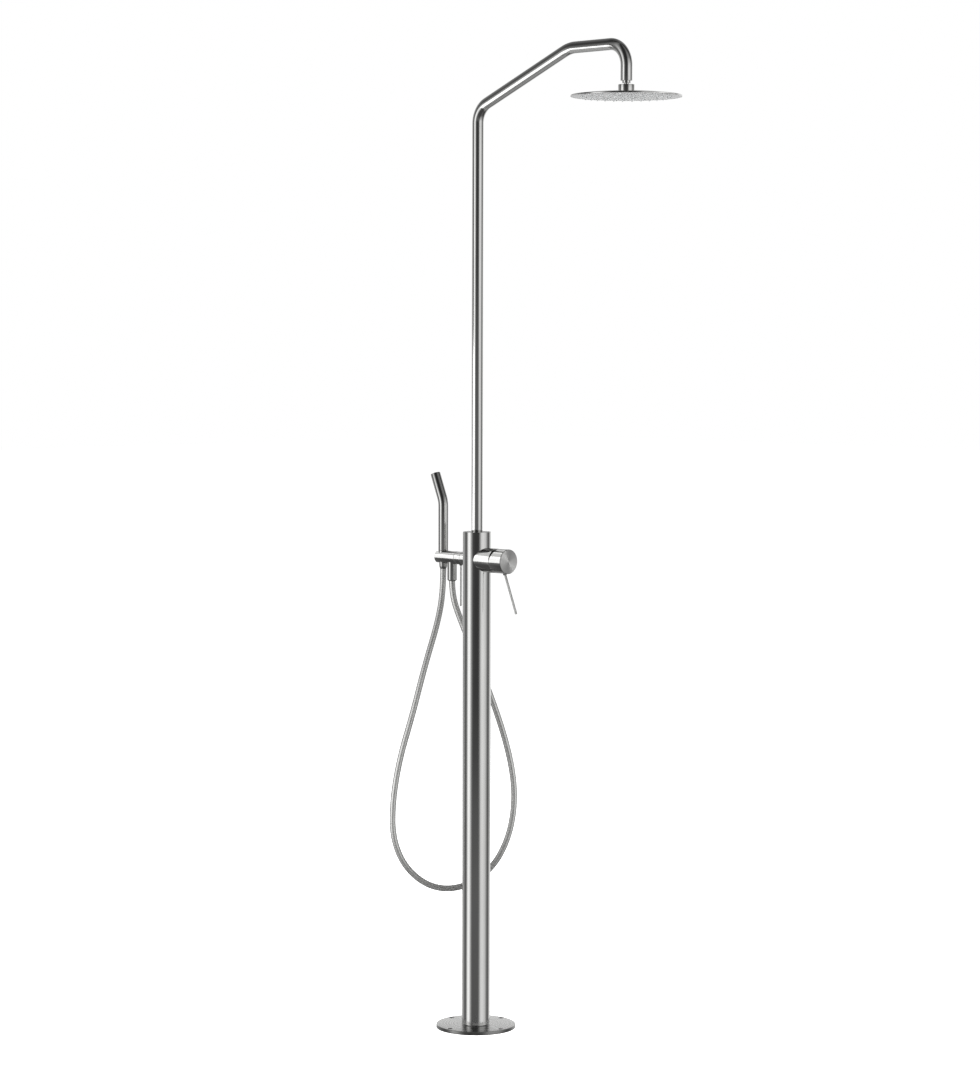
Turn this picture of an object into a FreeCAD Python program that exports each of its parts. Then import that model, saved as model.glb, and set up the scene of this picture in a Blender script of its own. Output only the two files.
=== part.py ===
import FreeCAD, Part
import math
import os

# Outdoor shower post: a floor flange carries a round column with a mixer on its
# front and a holder bar on its back, and a thin riser bends over into an arm
# with a flat overhead shower.  Millimetres, +Z up, origin at the column's axis
# on the floor, front (arm and mixer) towards -Y.

Vec = FreeCAD.Vector
UP = Vec(0, 0, 1)
DOWN = Vec(0, 0, -1)
FRONT = Vec(0, -1, 0)
BACK = Vec(0, 1, 0)
SIDE = Vec(1, 0, 0)

# ---- fits
PRESS = 0.05            # radial gap of pieces that are screwed or welded together
RUN = 0.05              # radial gap of pieces that turn in each other
SEAM = 0.3              # gap between faces that pass each other
SEAT = 0.08             # gap between the hand shower's cone and its holder
OVERCUT = 1.0           # how far a cutting tool runs past a face
THROUGH = 120.0         # length of a cutting tool that runs right through

# ---- floor flange
FLANGE_R = 90.0
FLANGE_THICK = 8.0
FLANGE_CHAMFER = 1.0
ANCHOR_EDGE = 10.0      # from an anchor hole's centre to the flange's edge
ANCHOR_CIRCLE_R = FLANGE_R - ANCHOR_EDGE
ANCHOR_COUNT = 4
ANCHOR_HOLE_R = 3.5
ANCHOR_SINK_R = 6.0
SPIGOT_HEIGHT = 16.0
INLET_SPACING = 26.0
INLET_R = 9.3
INLET_DEPTH = 14.0
INLET_SHOULDER = 3.0

# ---- column
COLUMN_R = 32.0
COLUMN_WALL = 2.0
COLUMN_TOP_Z = 1126.0
CAP_THICK = 10.0
CAP_CHAMFER = 0.6
SEAL_WIDTH = 2.5
SEAL_DEPTH = 1.9

# ---- riser and arm
PIPE_R = 12.7
PIPE_WALL = 1.5
ARM_TOP_Z = 2185.0
ARM_RISE = 117.0        # from the corner on the riser up to the level run
ARM_CORNER_Z = ARM_TOP_Z - ARM_RISE
ARM_SLOPE_DEG = 22.3
ARM_REACH = 454.0
ARM_DROP = 80.0         # from the level run down to the pipe's end
ARM_END_Z = ARM_TOP_Z - ARM_DROP
LOW_BEND_R = 48.0
HIGH_BEND_R = 90.0
END_BEND_R = 48.0

# ---- ball joint over the head
PLUG_LENGTH = 16.0
NIPPLE_R = 9.0
NIPPLE_LENGTH = 5.0
NECK_R = 5.0
BALL_R = 9.5
BALL_DROP = 16.0        # from the pipe's end down to the ball's centre
BALL_BORE_R = 3.5
SWIVEL_NUT_R = 17.5
SWIVEL_NUT_ABOVE = 8.0  # nut's top face above the ball's centre
SWIVEL_NUT_BELOW = 5.8  # nut's lower face below the ball's centre
NUT_MOUTH_R = 10.0
NUT_GRIP_TOP = 5.8      # the nut holds the ball between these heights over its centre
NUT_GRIP_LOW = 1.2
NUT_EDGE = 0.8
SEAT_THICK = 1.4
SEAT_FROM_DEG = 100.0   # polar angles of the ball seat, from straight up
SEAT_TO_DEG = 138.0
HUB_THREAD_R = 13.5
HUB_BORE_R = 5.0
HUB_FLANGE_R = 24.0
HUB_FLANGE_THICK = 2.0
HUB_TAIL = 1.4          # hub left under the cup

# ---- overhead head
HEAD_R = 118.5
RIM_HEIGHT = 3.2
HEAD_SHEET = 1.0
HEAD_RISE = 8.6         # top of the dome over the rim's top edge
DOME_MID_RISE = 5.0     # dome height half way out
DOME_FLAT_R = 19.0
PLATE_THICK = 1.0
PLATE_EDGE = 0.2
GASKET_WIDTH = 3.0
MAT_THICK = 1.0
NOZZLE_RINGS = 5
NOZZLES_ADDED = 6       # by each ring to the one inside it
NOZZLE_PITCH = 19.0
NOZZLE_R = 1.9
NOZZLE_TIP_R = 1.2
NOZZLE_LENGTH = 4.2

# ---- fittings' common height
FITTINGS_Z = 1063.5

# ---- mixer
MIXER_R = 27.5
SLEEVE_WALL = 3.0
PIVOT_Y = 65.0          # tilt axis of the cap, in front of the column's axis
CAP_FRONT_Y = 102.0
CAP_FRONT_WALL = 6.0
CAP_EDGE = 0.8
CAP_TILT_DEG = 18.0
CAP_HUB_R = 9.0
CAP_HUB_Y = 77.0
STEM_SIDE = 8.0
STEM_INNER_Y = 60.0
STEM_OUTER_Y = 95.0
PIVOT_R = 1.5
PIVOT_LENGTH = 18.0
CARRIER_R = 10.0
CARRIER_INNER_Y = 52.5
CARRIER_OUTER_Y = 69.5
CARRIER_SLOT_Y = 56.0
CARTRIDGE_R = 17.5
CARTRIDGE_BACK_Y = 17.0
CARTRIDGE_SHOULDER_Y = 50.0
CARTRIDGE_NECK_R = 12.5
CARTRIDGE_NECK_Y = 61.0
HOUSING_R = 22.5
HOUSING_THREAD_R = 20.0
HOUSING_BACK_Y = 12.0
HOUSING_FRONT_Y = 58.0
PORT_COUNT = 3
PORT_R = 3.5
PORT_CIRCLE_R = 9.0
LOCK_RING_Y = 62.6
LEVER_ROOT_Y = 90.0
LEVER_ANGLE_DEG = 22.5  # outwards from straight down
LEVER_R = 2.8
LEVER_LENGTH = 95.0
LEVER_THREAD_R = 2.2
LEVER_COLLAR_R = 4.6
LEVER_COLLAR_OUT = 2.4
LEVER_COLLAR_IN = 3.4
LEVER_TIP_ROUND = 0.8

# ---- valve block and supply inside the column
BLOCK_R = 27.0
BLOCK_LOW_Z = 1024.0
BLOCK_TOP_Z = 1102.0
BLOCK_FLAT_Y = 24.0
BLOCK_SOCKET = 9.0
RISER_SOCKET = 14.0
RISER_WAY_R = 8.0
SUPPLY_R = 6.0
SUPPLY_WALL = 1.0

# ---- diverter and holder bar
BAR_R = 14.7
SOCKET_END_Y = 43.0
RING_END_Y = 62.0
RING_CHAMFER = 0.5
SPINE_R = 9.0
SPINE_BORE_R = 6.0
SPINE_INNER_Y = 14.0
SPINE_OUTER_Y = 72.0
GROOVE_DEPTH = 1.2
GROOVE_WIDTH = 2.4
DIVERTER_PIN_Y = 52.5
DIVERTER_PIN_R = 2.1
DIVERTER_PIN_LENGTH = 94.0
DIVERTER_COLLAR_R = 3.6
DIVERTER_COLLAR_OUT = 1.8
BAR_END_Y = 125.5
BAR_END_CHAMFER = 1.0
BAR_WAY_END_Y = 86.0

# ---- hose outlet
OUTLET_Y = 81.0
OUTLET_R = 11.1
OUTLET_END_Z = 1010.6
OUTLET_CHAMFER = 2.4
NIPPLE_THREAD_R = 8.0
WAY_R = 4.2
WASHER_THICK = 2.0
OUTLET_THREAD_DEPTH = 20.0

# ---- hand shower
HANDSET_Y = 110.5
HANDSET_R = 11.5
HANDSET_WALL = 1.4
CONE_LOW_R = 9.2
CONE_TOP_Z = 1078.0
CONE_LOW_Z = 1042.0
CONE_NOSE_Z = 1036.5
CONE_THREAD_DEPTH = 16.0
HOLDER_SLOT = 15.0
HANDSET_BEND_Z = 1189.6
HANDSET_TILT_DEG = 23.0
HANDSET_TIP_LENGTH = 67.8
HANDSET_BEND_R = 55.0
COUPLER_GRIP = 14.0
SPRAY_THICK = 5.0
SPRAY_RECESS = 0.5
SPRAY_HOLES = 8
SPRAY_HOLE_R = 0.9
SPRAY_HOLE_CIRCLE_R = 5.5

# ---- hose
HOSE_R = 7.2
HOSE_BORE_R = 4.6
INSERT_LENGTH = 18.0
BEND_SHARE = 0.45       # part of the shorter run that a bend takes up

# Route of the hose between its two fittings, chosen by hand: down from the
# outlet, behind the column, round the loop and up to the hand shower.
HOSE_ROUTE = [
    (0, 81, 980),
    (14, 71, 925),
    (73, 19, 733),
    (102, -8, 602),
    (109, -15, 506),
    (98, -4, 418),
    (70, 23, 348),
    (22, 69, 305),
    (-28, 118, 305),
    (-71, 159, 350),
    (-92, 180, 420),
    (-92, 180, 505),
    (-81, 169, 602),
    (-59, 148, 707),
    (-38, 131, 815),
    (-11, 115, 918),
    (0, 110.5, 988),
]


# ---------------------------------------------------------------- shape helpers

def placed(shape, base, direction):
    """Shape made along +Z from the origin, moved to base along direction."""
    shape.Placement = FreeCAD.Placement(base, FreeCAD.Rotation(UP, direction))
    return shape


def rod(radius, base, direction, length):
    """Plain cylinder from base along direction."""
    return Part.makeCylinder(radius, length, base, direction)


def ring(outer, inner, base, direction, length):
    """Cylinder with a bore through it."""
    return rod(outer, base, direction, length).cut(
        rod(inner, base - direction * OVERCUT, direction, length + 2 * OVERCUT))


def edges_through(points):
    """Line edges that close a list of vectors."""
    closed = points + points[:1]
    return [Part.makeLine(a, b) for a, b in zip(closed, closed[1:])]


def lathe(profile, base=Vec(0, 0, 0), direction=UP):
    """Solid of revolution; profile is a closed list of (radius, height)."""
    points = [Vec(radius, 0, height) for radius, height in profile]
    face = Part.Face(Part.Wire(edges_through(points)))
    return placed(face.revolve(Vec(0, 0, 0), UP, 360), base, direction)


def revolved(edges):
    """Solid of revolution about Z of a closed loop of edges in the XZ plane."""
    return Part.Face(Part.Wire(edges)).revolve(Vec(0, 0, 0), UP, 360)


def turn_between(first, second):
    """Angle in radians between two directions."""
    cosine = max(-1.0, min(1.0, first.dot(second)))
    return math.acos(cosine)


def directions_of(points):
    """Unit directions of the straight runs between points."""
    return [(b - a).normalize() for a, b in zip(points, points[1:])]


def bent_wire(points, radii):
    """Straight runs joined by tangent arcs, one radius for each inner point."""
    runs = directions_of(points)
    edges = []
    last = points[0]
    for corner, radius, come, go in zip(points[1:-1], radii, runs, runs[1:]):
        half = turn_between(come, go) / 2
        reach = radius * math.tan(half)
        start = corner - come * reach
        end = corner + go * reach
        inward = (go - come).normalize()
        middle = corner + inward * (radius / math.cos(half) - radius)
        edges.append(Part.LineSegment(last, start).toShape())
        edges.append(Part.Arc(start, middle, end).toShape())
        last = end
    edges.append(Part.LineSegment(last, points[-1]).toShape())
    return Part.Wire(edges)


def swept_rod(radius, points, radii):
    """Round bar along a bent wire."""
    path = bent_wire(points, radii)
    first = directions_of(points)[0]
    section = Part.Wire(Part.makeCircle(radius, points[0], first))
    return path.makePipeShell([section], True, False)


def swept_tube(outer, inner, points, radii):
    """Round tube along a bent wire."""
    return swept_rod(outer, points, radii).cut(swept_rod(inner, points, radii))


def axis_point(y, z=FITTINGS_Z):
    """Point on the fittings' common axis; y is positive towards the back."""
    return Vec(0, y, z)


def column_space():
    """Space that the column takes up round the fittings' height."""
    return rod(COLUMN_R, axis_point(0, FITTINGS_Z - THROUGH / 2), UP, THROUGH)


# ---------------------------------------------------------------- base and column

def base_flange():
    """Thick floor disc with a spigot for the column and two threaded inlets."""
    spigot_r = COLUMN_R - COLUMN_WALL - PRESS
    top = FLANGE_THICK + SPIGOT_HEIGHT
    body = lathe([
        (0, 0), (FLANGE_R, 0), (FLANGE_R, FLANGE_THICK - FLANGE_CHAMFER),
        (FLANGE_R - FLANGE_CHAMFER, FLANGE_THICK), (spigot_r, FLANGE_THICK),
        (spigot_r, top - FLANGE_CHAMFER), (spigot_r - FLANGE_CHAMFER, top), (0, top)])
    sink = ANCHOR_SINK_R - ANCHOR_HOLE_R
    for index in range(ANCHOR_COUNT):
        angle = 2 * math.pi * index / ANCHOR_COUNT
        foot = Vec(ANCHOR_CIRCLE_R * math.cos(angle), ANCHOR_CIRCLE_R * math.sin(angle), 0)
        body = body.cut(rod(ANCHOR_HOLE_R, foot - UP * OVERCUT, UP, THROUGH))
        body = body.cut(Part.makeCone(
            ANCHOR_HOLE_R, ANCHOR_SINK_R, sink, foot + UP * (FLANGE_THICK - sink)))
    for side in (-1, 1):
        foot = Vec(side * INLET_SPACING / 2, 0, 0)
        socket_z = INLET_DEPTH + INLET_SHOULDER
        body = body.cut(rod(INLET_R, foot - UP * OVERCUT, UP, INLET_DEPTH + OVERCUT))
        body = body.cut(rod(SUPPLY_R - SUPPLY_WALL, foot, UP, top))
        body = body.cut(rod(SUPPLY_R + PRESS, foot + UP * socket_z, UP, top))
    return body


def column_tube():
    """Column wall with the holes that the mixer and the bar's spine pass."""
    wall = ring(COLUMN_R, COLUMN_R - COLUMN_WALL, Vec(0, 0, FLANGE_THICK), UP,
                COLUMN_TOP_Z - FLANGE_THICK)
    front = rod(MIXER_R - SLEEVE_WALL, axis_point(0), FRONT, COLUMN_R + OVERCUT)
    back = rod(SPINE_R + PRESS, axis_point(0), BACK, COLUMN_R + OVERCUT)
    return wall.cut(front).cut(back)


def column_cap():
    """Plug that closes the column's top round the riser, grooved for its seal."""
    plug_r = COLUMN_R - COLUMN_WALL - PRESS
    hole_r = PIPE_R + PRESS
    low = COLUMN_TOP_Z - CAP_THICK
    groove_low = low + (CAP_THICK - SEAL_WIDTH) / 2
    return lathe([
        (hole_r, low), (plug_r, low), (plug_r, COLUMN_TOP_Z - CAP_CHAMFER),
        (plug_r - CAP_CHAMFER, COLUMN_TOP_Z), (hole_r, COLUMN_TOP_Z),
        (hole_r, groove_low + SEAL_WIDTH), (hole_r + SEAL_DEPTH, groove_low + SEAL_WIDTH),
        (hole_r + SEAL_DEPTH, groove_low), (hole_r, groove_low)])


def riser_seal():
    """Rubber ring in the cap's groove."""
    low = COLUMN_TOP_Z - (CAP_THICK + SEAL_WIDTH) / 2
    return ring(PIPE_R + PRESS + SEAL_DEPTH, PIPE_R, Vec(0, 0, low), UP, SEAL_WIDTH)


def supply_pipe(side):
    """Straight pipe from an inlet to the valve block."""
    low = INLET_DEPTH + INLET_SHOULDER
    high = BLOCK_LOW_Z + BLOCK_SOCKET
    return ring(SUPPLY_R, SUPPLY_R - SUPPLY_WALL, Vec(side * INLET_SPACING / 2, 0, low), UP,
                high - low)


def valve_block():
    """Brass block in the column that joins the supplies, mixer, bar and riser."""
    body = rod(BLOCK_R, Vec(0, 0, BLOCK_LOW_Z), UP, BLOCK_TOP_Z - BLOCK_LOW_Z)
    flat = Part.makeBox(2 * BLOCK_R, BLOCK_R, 2 * BLOCK_R,
                        Vec(-BLOCK_R, -BLOCK_R - BLOCK_FLAT_Y, FITTINGS_Z - BLOCK_R))
    body = body.cut(flat)
    for side in (-1, 1):
        foot = Vec(side * INLET_SPACING / 2, 0, BLOCK_LOW_Z - OVERCUT)
        body = body.cut(rod(SUPPLY_R + PRESS, foot, UP, BLOCK_SOCKET + OVERCUT))
        body = body.cut(rod(SUPPLY_R - SUPPLY_WALL, foot, UP, FITTINGS_Z - BLOCK_LOW_Z))
    body = body.cut(rod(PIPE_R + PRESS, Vec(0, 0, BLOCK_TOP_Z - RISER_SOCKET), UP, BLOCK_TOP_Z))
    body = body.cut(rod(RISER_WAY_R, axis_point(0), UP, BLOCK_TOP_Z))
    body = body.cut(rod(HOUSING_THREAD_R + PRESS, axis_point(-HOUSING_BACK_Y), FRONT, BLOCK_R))
    body = body.cut(rod(SPINE_R + PRESS, axis_point(SPINE_INNER_Y), BACK, BLOCK_R))
    return body.cut(rod(SPINE_BORE_R, axis_point(-HOUSING_BACK_Y), BACK, BLOCK_R))


# ---------------------------------------------------------------- riser, arm, head

def arm_points():
    """Corners of the riser's centre line, from the valve block to the head."""
    run = (ARM_TOP_Z - ARM_CORNER_Z) / math.tan(math.radians(ARM_SLOPE_DEG))
    return [
        Vec(0, 0, BLOCK_TOP_Z - RISER_SOCKET),
        Vec(0, 0, ARM_CORNER_Z),
        Vec(0, -run, ARM_TOP_Z),
        Vec(0, -ARM_REACH, ARM_TOP_Z),
        Vec(0, -ARM_REACH, ARM_END_Z)]


def riser_arm():
    """One bent pipe: riser, slanted rise, level run and the drop over the head."""
    return swept_tube(PIPE_R, PIPE_R - PIPE_WALL, arm_points(),
                      [LOW_BEND_R, HIGH_BEND_R, END_BEND_R])


def over_head(shape):
    """Shape made about Z at height 0 moved to the ball's centre."""
    shape.translate(Vec(0, -ARM_REACH, ARM_END_Z - BALL_DROP))
    return shape


def ball_stem():
    """Plug, nipple, neck and ball in one turned piece with a waterway."""
    plug = rod(PIPE_R - PIPE_WALL - PRESS, Vec(0, 0, BALL_DROP), UP, PLUG_LENGTH)
    nipple = rod(NIPPLE_R, Vec(0, 0, BALL_DROP - NIPPLE_LENGTH), UP, NIPPLE_LENGTH)
    neck = rod(NECK_R, Vec(0, 0, 0), UP, BALL_DROP - NIPPLE_LENGTH)
    ball = Part.makeSphere(BALL_R)
    body = ball.fuse([neck, nipple, plug]).removeSplitter()
    way = rod(BALL_BORE_R, Vec(0, 0, -THROUGH / 2), UP, THROUGH)
    return over_head(body.cut(way))


def polar(radius, degrees):
    """Point in the XZ plane at a polar angle from straight up."""
    angle = math.radians(degrees)
    return Vec(radius * math.sin(angle), 0, radius * math.cos(angle))


def polar_arc(radius, start, end):
    """Arc edge about the ball's centre between two polar angles."""
    return Part.Arc(polar(radius, start), polar(radius, (start + end) / 2),
                    polar(radius, end)).toShape()


def ball_seat():
    """Spherical seat ring under the ball."""
    inner = BALL_R + RUN
    outer = inner + SEAT_THICK
    return over_head(revolved([
        polar_arc(inner, SEAT_FROM_DEG, SEAT_TO_DEG),
        Part.makeLine(polar(inner, SEAT_TO_DEG), polar(outer, SEAT_TO_DEG)),
        polar_arc(outer, SEAT_TO_DEG, SEAT_FROM_DEG),
        Part.makeLine(polar(outer, SEAT_FROM_DEG), polar(inner, SEAT_FROM_DEG))]))


def swivel_nut():
    """Round nut that holds the ball from above and screws on the head's hub."""
    grip_r = BALL_R + RUN
    thread_r = HUB_THREAD_R + PRESS
    high = Vec(math.sqrt(grip_r ** 2 - NUT_GRIP_TOP ** 2), 0, NUT_GRIP_TOP)
    low = Vec(math.sqrt(grip_r ** 2 - NUT_GRIP_LOW ** 2), 0, NUT_GRIP_LOW)
    waist = polar(grip_r, (math.degrees(math.atan2(high.x, high.z))
                           + math.degrees(math.atan2(low.x, low.z))) / 2)
    outline = [
        low,
        Vec(thread_r, 0, NUT_GRIP_LOW),
        Vec(thread_r, 0, -SWIVEL_NUT_BELOW),
        Vec(SWIVEL_NUT_R - NUT_EDGE, 0, -SWIVEL_NUT_BELOW),
        Vec(SWIVEL_NUT_R, 0, NUT_EDGE - SWIVEL_NUT_BELOW),
        Vec(SWIVEL_NUT_R, 0, SWIVEL_NUT_ABOVE - NUT_EDGE),
        Vec(SWIVEL_NUT_R - NUT_EDGE, 0, SWIVEL_NUT_ABOVE),
        Vec(NUT_MOUTH_R, 0, SWIVEL_NUT_ABOVE),
        high]
    edges = [Part.makeLine(a, b) for a, b in zip(outline, outline[1:])]
    edges.append(Part.Arc(high, waist, low).toShape())
    return over_head(revolved(edges))


def dome_top():
    """Height of the head's top face, from the ball's centre."""
    return -SWIVEL_NUT_BELOW


def rim_top():
    """Height of the rim's top edge, from the ball's centre."""
    return dome_top() - HEAD_RISE


def head_hub():
    """Threaded hub with the cup under the ball and a flange inside the head."""
    cup_r = BALL_R + 2 * RUN + SEAT_THICK
    flange_top = dome_top() - HEAD_SHEET
    tail = -cup_r - HUB_TAIL
    body = lathe([
        (0, tail), (HUB_THREAD_R, tail), (HUB_THREAD_R, flange_top - HUB_FLANGE_THICK),
        (HUB_FLANGE_R, flange_top - HUB_FLANGE_THICK - HEAD_SHEET),
        (HUB_FLANGE_R, flange_top - HEAD_SHEET), (DOME_FLAT_R, flange_top),
        (HUB_THREAD_R, flange_top), (HUB_THREAD_R, 0), (0, 0)])
    body = body.cut(Part.makeSphere(cup_r))
    return over_head(body.cut(rod(HUB_BORE_R, Vec(0, 0, tail - OVERCUT), UP, -tail)))


def head_shell():
    """Thin domed top sheet of the head with its turned-down rim."""
    top = dome_top()
    rim = rim_top()
    half_r = (HEAD_R + DOME_FLAT_R) / 2
    inner_r = HEAD_R - HEAD_SHEET
    hole_r = HUB_THREAD_R + PRESS
    outer_arc = Part.Arc(Vec(HEAD_R, 0, rim), Vec(half_r, 0, rim + DOME_MID_RISE),
                         Vec(DOME_FLAT_R, 0, top)).toShape()
    inner_arc = Part.Arc(Vec(DOME_FLAT_R, 0, top - HEAD_SHEET),
                         Vec(half_r, 0, rim + DOME_MID_RISE - HEAD_SHEET),
                         Vec(inner_r, 0, rim - HEAD_SHEET)).toShape()
    return over_head(revolved([
        outer_arc,
        Part.makeLine(Vec(DOME_FLAT_R, 0, top), Vec(hole_r, 0, top)),
        Part.makeLine(Vec(hole_r, 0, top), Vec(hole_r, 0, top - HEAD_SHEET)),
        Part.makeLine(Vec(hole_r, 0, top - HEAD_SHEET), Vec(DOME_FLAT_R, 0, top - HEAD_SHEET)),
        inner_arc,
        Part.makeLine(Vec(inner_r, 0, rim - HEAD_SHEET), Vec(inner_r, 0, rim - RIM_HEIGHT)),
        Part.makeLine(Vec(inner_r, 0, rim - RIM_HEIGHT), Vec(HEAD_R, 0, rim - RIM_HEIGHT)),
        Part.makeLine(Vec(HEAD_R, 0, rim - RIM_HEIGHT), Vec(HEAD_R, 0, rim))]))


def nozzle_places():
    """Centre nozzle and rings of six more each, as (x, y)."""
    places = [(0.0, 0.0)]
    for ring_index in range(1, NOZZLE_RINGS + 1):
        count = NOZZLES_ADDED * ring_index
        radius = NOZZLE_PITCH * ring_index
        for index in range(count):
            angle = 2 * math.pi * index / count
            places.append((radius * math.cos(angle), radius * math.sin(angle)))
    return places


def plate_low():
    """Height of the spray plate's lower face, from the ball's centre."""
    return rim_top() - RIM_HEIGHT + PLATE_EDGE


def spray_plate():
    """Flat lower sheet of the head with a hole for every nozzle."""
    low = plate_low()
    disc = rod(HEAD_R - HEAD_SHEET - PRESS, Vec(0, 0, low), UP, PLATE_THICK)
    holes = [rod(NOZZLE_R + PRESS, Vec(x, y, low - OVERCUT), UP, THROUGH)
             for x, y in nozzle_places()]
    return over_head(disc.cut(holes))


def nozzle_mat():
    """Silicone mat over the spray plate, with the teeth that come through it."""
    low = plate_low()
    mat_r = HEAD_R - HEAD_SHEET - PRESS - GASKET_WIDTH
    mat = rod(mat_r, Vec(0, 0, low + PLATE_THICK), UP, MAT_THICK)
    height = PLATE_THICK + NOZZLE_LENGTH
    teeth = [Part.makeCone(NOZZLE_R, NOZZLE_TIP_R, height, Vec(x, y, low + PLATE_THICK), DOWN)
             for x, y in nozzle_places()]
    return over_head(mat.fuse(teeth))


def head_gasket():
    """Ring that seals the plate against the shell inside the rim."""
    outer = HEAD_R - HEAD_SHEET - PRESS
    low = plate_low() + PLATE_THICK
    height = rim_top() - HEAD_SHEET - low
    return over_head(ring(outer, outer - GASKET_WIDTH, Vec(0, 0, low), UP, height))


# ---------------------------------------------------------------- mixer

def mixer_sleeve():
    """Fixed outer sleeve, cut to a saddle where it is welded to the column."""
    sleeve = ring(MIXER_R, MIXER_R - SLEEVE_WALL, axis_point(0), FRONT, PIVOT_Y - SEAM)
    return sleeve.cut(column_space())


def cartridge_housing():
    """Cup for the cartridge, screwed into the block, with its three ports."""
    back = axis_point(-HOUSING_BACK_Y)
    body = rod(HOUSING_THREAD_R, back, FRONT, BLOCK_FLAT_Y - HOUSING_BACK_Y)
    body = body.fuse(rod(HOUSING_R, axis_point(-BLOCK_FLAT_Y), FRONT,
                         HOUSING_FRONT_Y - BLOCK_FLAT_Y)).removeSplitter()
    body = body.cut(rod(CARTRIDGE_R + PRESS, axis_point(-CARTRIDGE_BACK_Y), FRONT,
                        HOUSING_FRONT_Y))
    for index in range(PORT_COUNT):
        angle = 2 * math.pi * index / PORT_COUNT
        port = Vec(PORT_CIRCLE_R * math.sin(angle), 0,
                   FITTINGS_Z + PORT_CIRCLE_R * math.cos(angle))
        body = body.cut(rod(PORT_R, port, FRONT, CARTRIDGE_BACK_Y + OVERCUT))
    return body


def cartridge():
    """Ceramic mixing cartridge with the neck that guides its carrier."""
    return lathe([
        (0, CARTRIDGE_BACK_Y), (CARTRIDGE_R, CARTRIDGE_BACK_Y),
        (CARTRIDGE_R, CARTRIDGE_SHOULDER_Y), (CARTRIDGE_NECK_R, CARTRIDGE_SHOULDER_Y),
        (CARTRIDGE_NECK_R, CARTRIDGE_NECK_Y), (CARRIER_R + RUN, CARTRIDGE_NECK_Y),
        (CARRIER_R + RUN, CARRIER_INNER_Y - SEAM), (0, CARRIER_INNER_Y - SEAM)],
        axis_point(0), FRONT)


def cartridge_nut():
    """Locking ring that holds the cartridge and closes the sleeve's front."""
    neck = CARTRIDGE_NECK_R + PRESS
    return lathe([
        (neck, CARTRIDGE_SHOULDER_Y), (CARTRIDGE_R - PRESS, CARTRIDGE_SHOULDER_Y),
        (CARTRIDGE_R - PRESS, HOUSING_FRONT_Y), (MIXER_R - SLEEVE_WALL - PRESS, HOUSING_FRONT_Y),
        (MIXER_R - SLEEVE_WALL - PRESS, LOCK_RING_Y), (neck, LOCK_RING_Y)],
        axis_point(0), FRONT)


def cartridge_carrier():
    """Forked carrier that turns in the cartridge and holds the pivot pin."""
    body = rod(CARRIER_R, axis_point(-CARRIER_INNER_Y), FRONT,
               CARRIER_OUTER_Y - CARRIER_INNER_Y)
    width = STEM_SIDE + 2 * RUN
    slot = Part.makeBox(width, CARRIER_OUTER_Y - CARRIER_SLOT_Y + OVERCUT, THROUGH,
                        Vec(-width / 2, -CARRIER_OUTER_Y - OVERCUT,
                            FITTINGS_Z - THROUGH / 2))
    hole = rod(PIVOT_R, Vec(-THROUGH / 2, -PIVOT_Y, FITTINGS_Z), SIDE, THROUGH)
    return body.cut(slot).cut(hole)


def pivot_pin():
    """Cross pin that the stem tilts on."""
    return rod(PIVOT_R, Vec(-PIVOT_LENGTH / 2, -PIVOT_Y, FITTINGS_Z), SIDE, PIVOT_LENGTH)


def cartridge_stem():
    """Square stem between the cross pin and the cap's hub."""
    half = STEM_SIDE / 2
    bar = Part.makeBox(STEM_SIDE, STEM_OUTER_Y - STEM_INNER_Y, STEM_SIDE,
                       Vec(-half, -STEM_OUTER_Y, FITTINGS_Z - half))
    hole = rod(PIVOT_R + RUN, Vec(-THROUGH / 2, -PIVOT_Y, FITTINGS_Z), SIDE, THROUGH)
    return bar.cut(hole)


def lever_root():
    """Point where the lever's axis leaves the cap's underside."""
    return Vec(0, -LEVER_ROOT_Y, FITTINGS_Z - MIXER_R)


def lever_direction():
    """Direction of the lever, down and outwards."""
    angle = math.radians(LEVER_ANGLE_DEG)
    return Vec(0, -math.sin(angle), -math.cos(angle))


def lever_inner_length():
    """Length of the lever's thread from the cap's underside up to the stem."""
    angle = math.radians(LEVER_ANGLE_DEG)
    return (MIXER_R - STEM_SIDE / 2) / math.cos(angle) - LEVER_THREAD_R * math.tan(angle)


def mixer_cap():
    """Hollow cap with a hub for the stem and a wedge cut away for the tilt."""
    back_y = PIVOT_Y + SEAM
    body = lathe([
        (0, CAP_HUB_Y), (CAP_HUB_R, CAP_HUB_Y), (CAP_HUB_R, CAP_FRONT_Y - CAP_FRONT_WALL),
        (MIXER_R - SLEEVE_WALL, CAP_FRONT_Y - CAP_FRONT_WALL), (MIXER_R - SLEEVE_WALL, back_y),
        (MIXER_R, back_y), (MIXER_R, CAP_FRONT_Y - CAP_EDGE),
        (MIXER_R - CAP_EDGE, CAP_FRONT_Y), (0, CAP_FRONT_Y)], axis_point(0), FRONT)
    half = STEM_SIDE / 2
    stem_hole = Part.makeBox(STEM_SIDE, STEM_OUTER_Y - CAP_HUB_Y + OVERCUT, STEM_SIDE,
                             Vec(-half, -STEM_OUTER_Y, FITTINGS_Z - half))
    wedge = Part.makeBox(THROUGH, back_y, THROUGH, Vec(-THROUGH / 2, -back_y, FITTINGS_Z))
    wedge.rotate(axis_point(-PIVOT_Y), SIDE, CAP_TILT_DEG)
    root = lever_root()
    along = lever_direction()
    thread = rod(LEVER_THREAD_R, root - along * lever_inner_length(), along,
                 lever_inner_length() + OVERCUT)
    recess = rod(LEVER_COLLAR_R + PRESS, root - along * LEVER_COLLAR_IN, along,
                 MIXER_R)
    return body.cut(stem_hole).cut(wedge).cut(thread).cut(recess)


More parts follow.
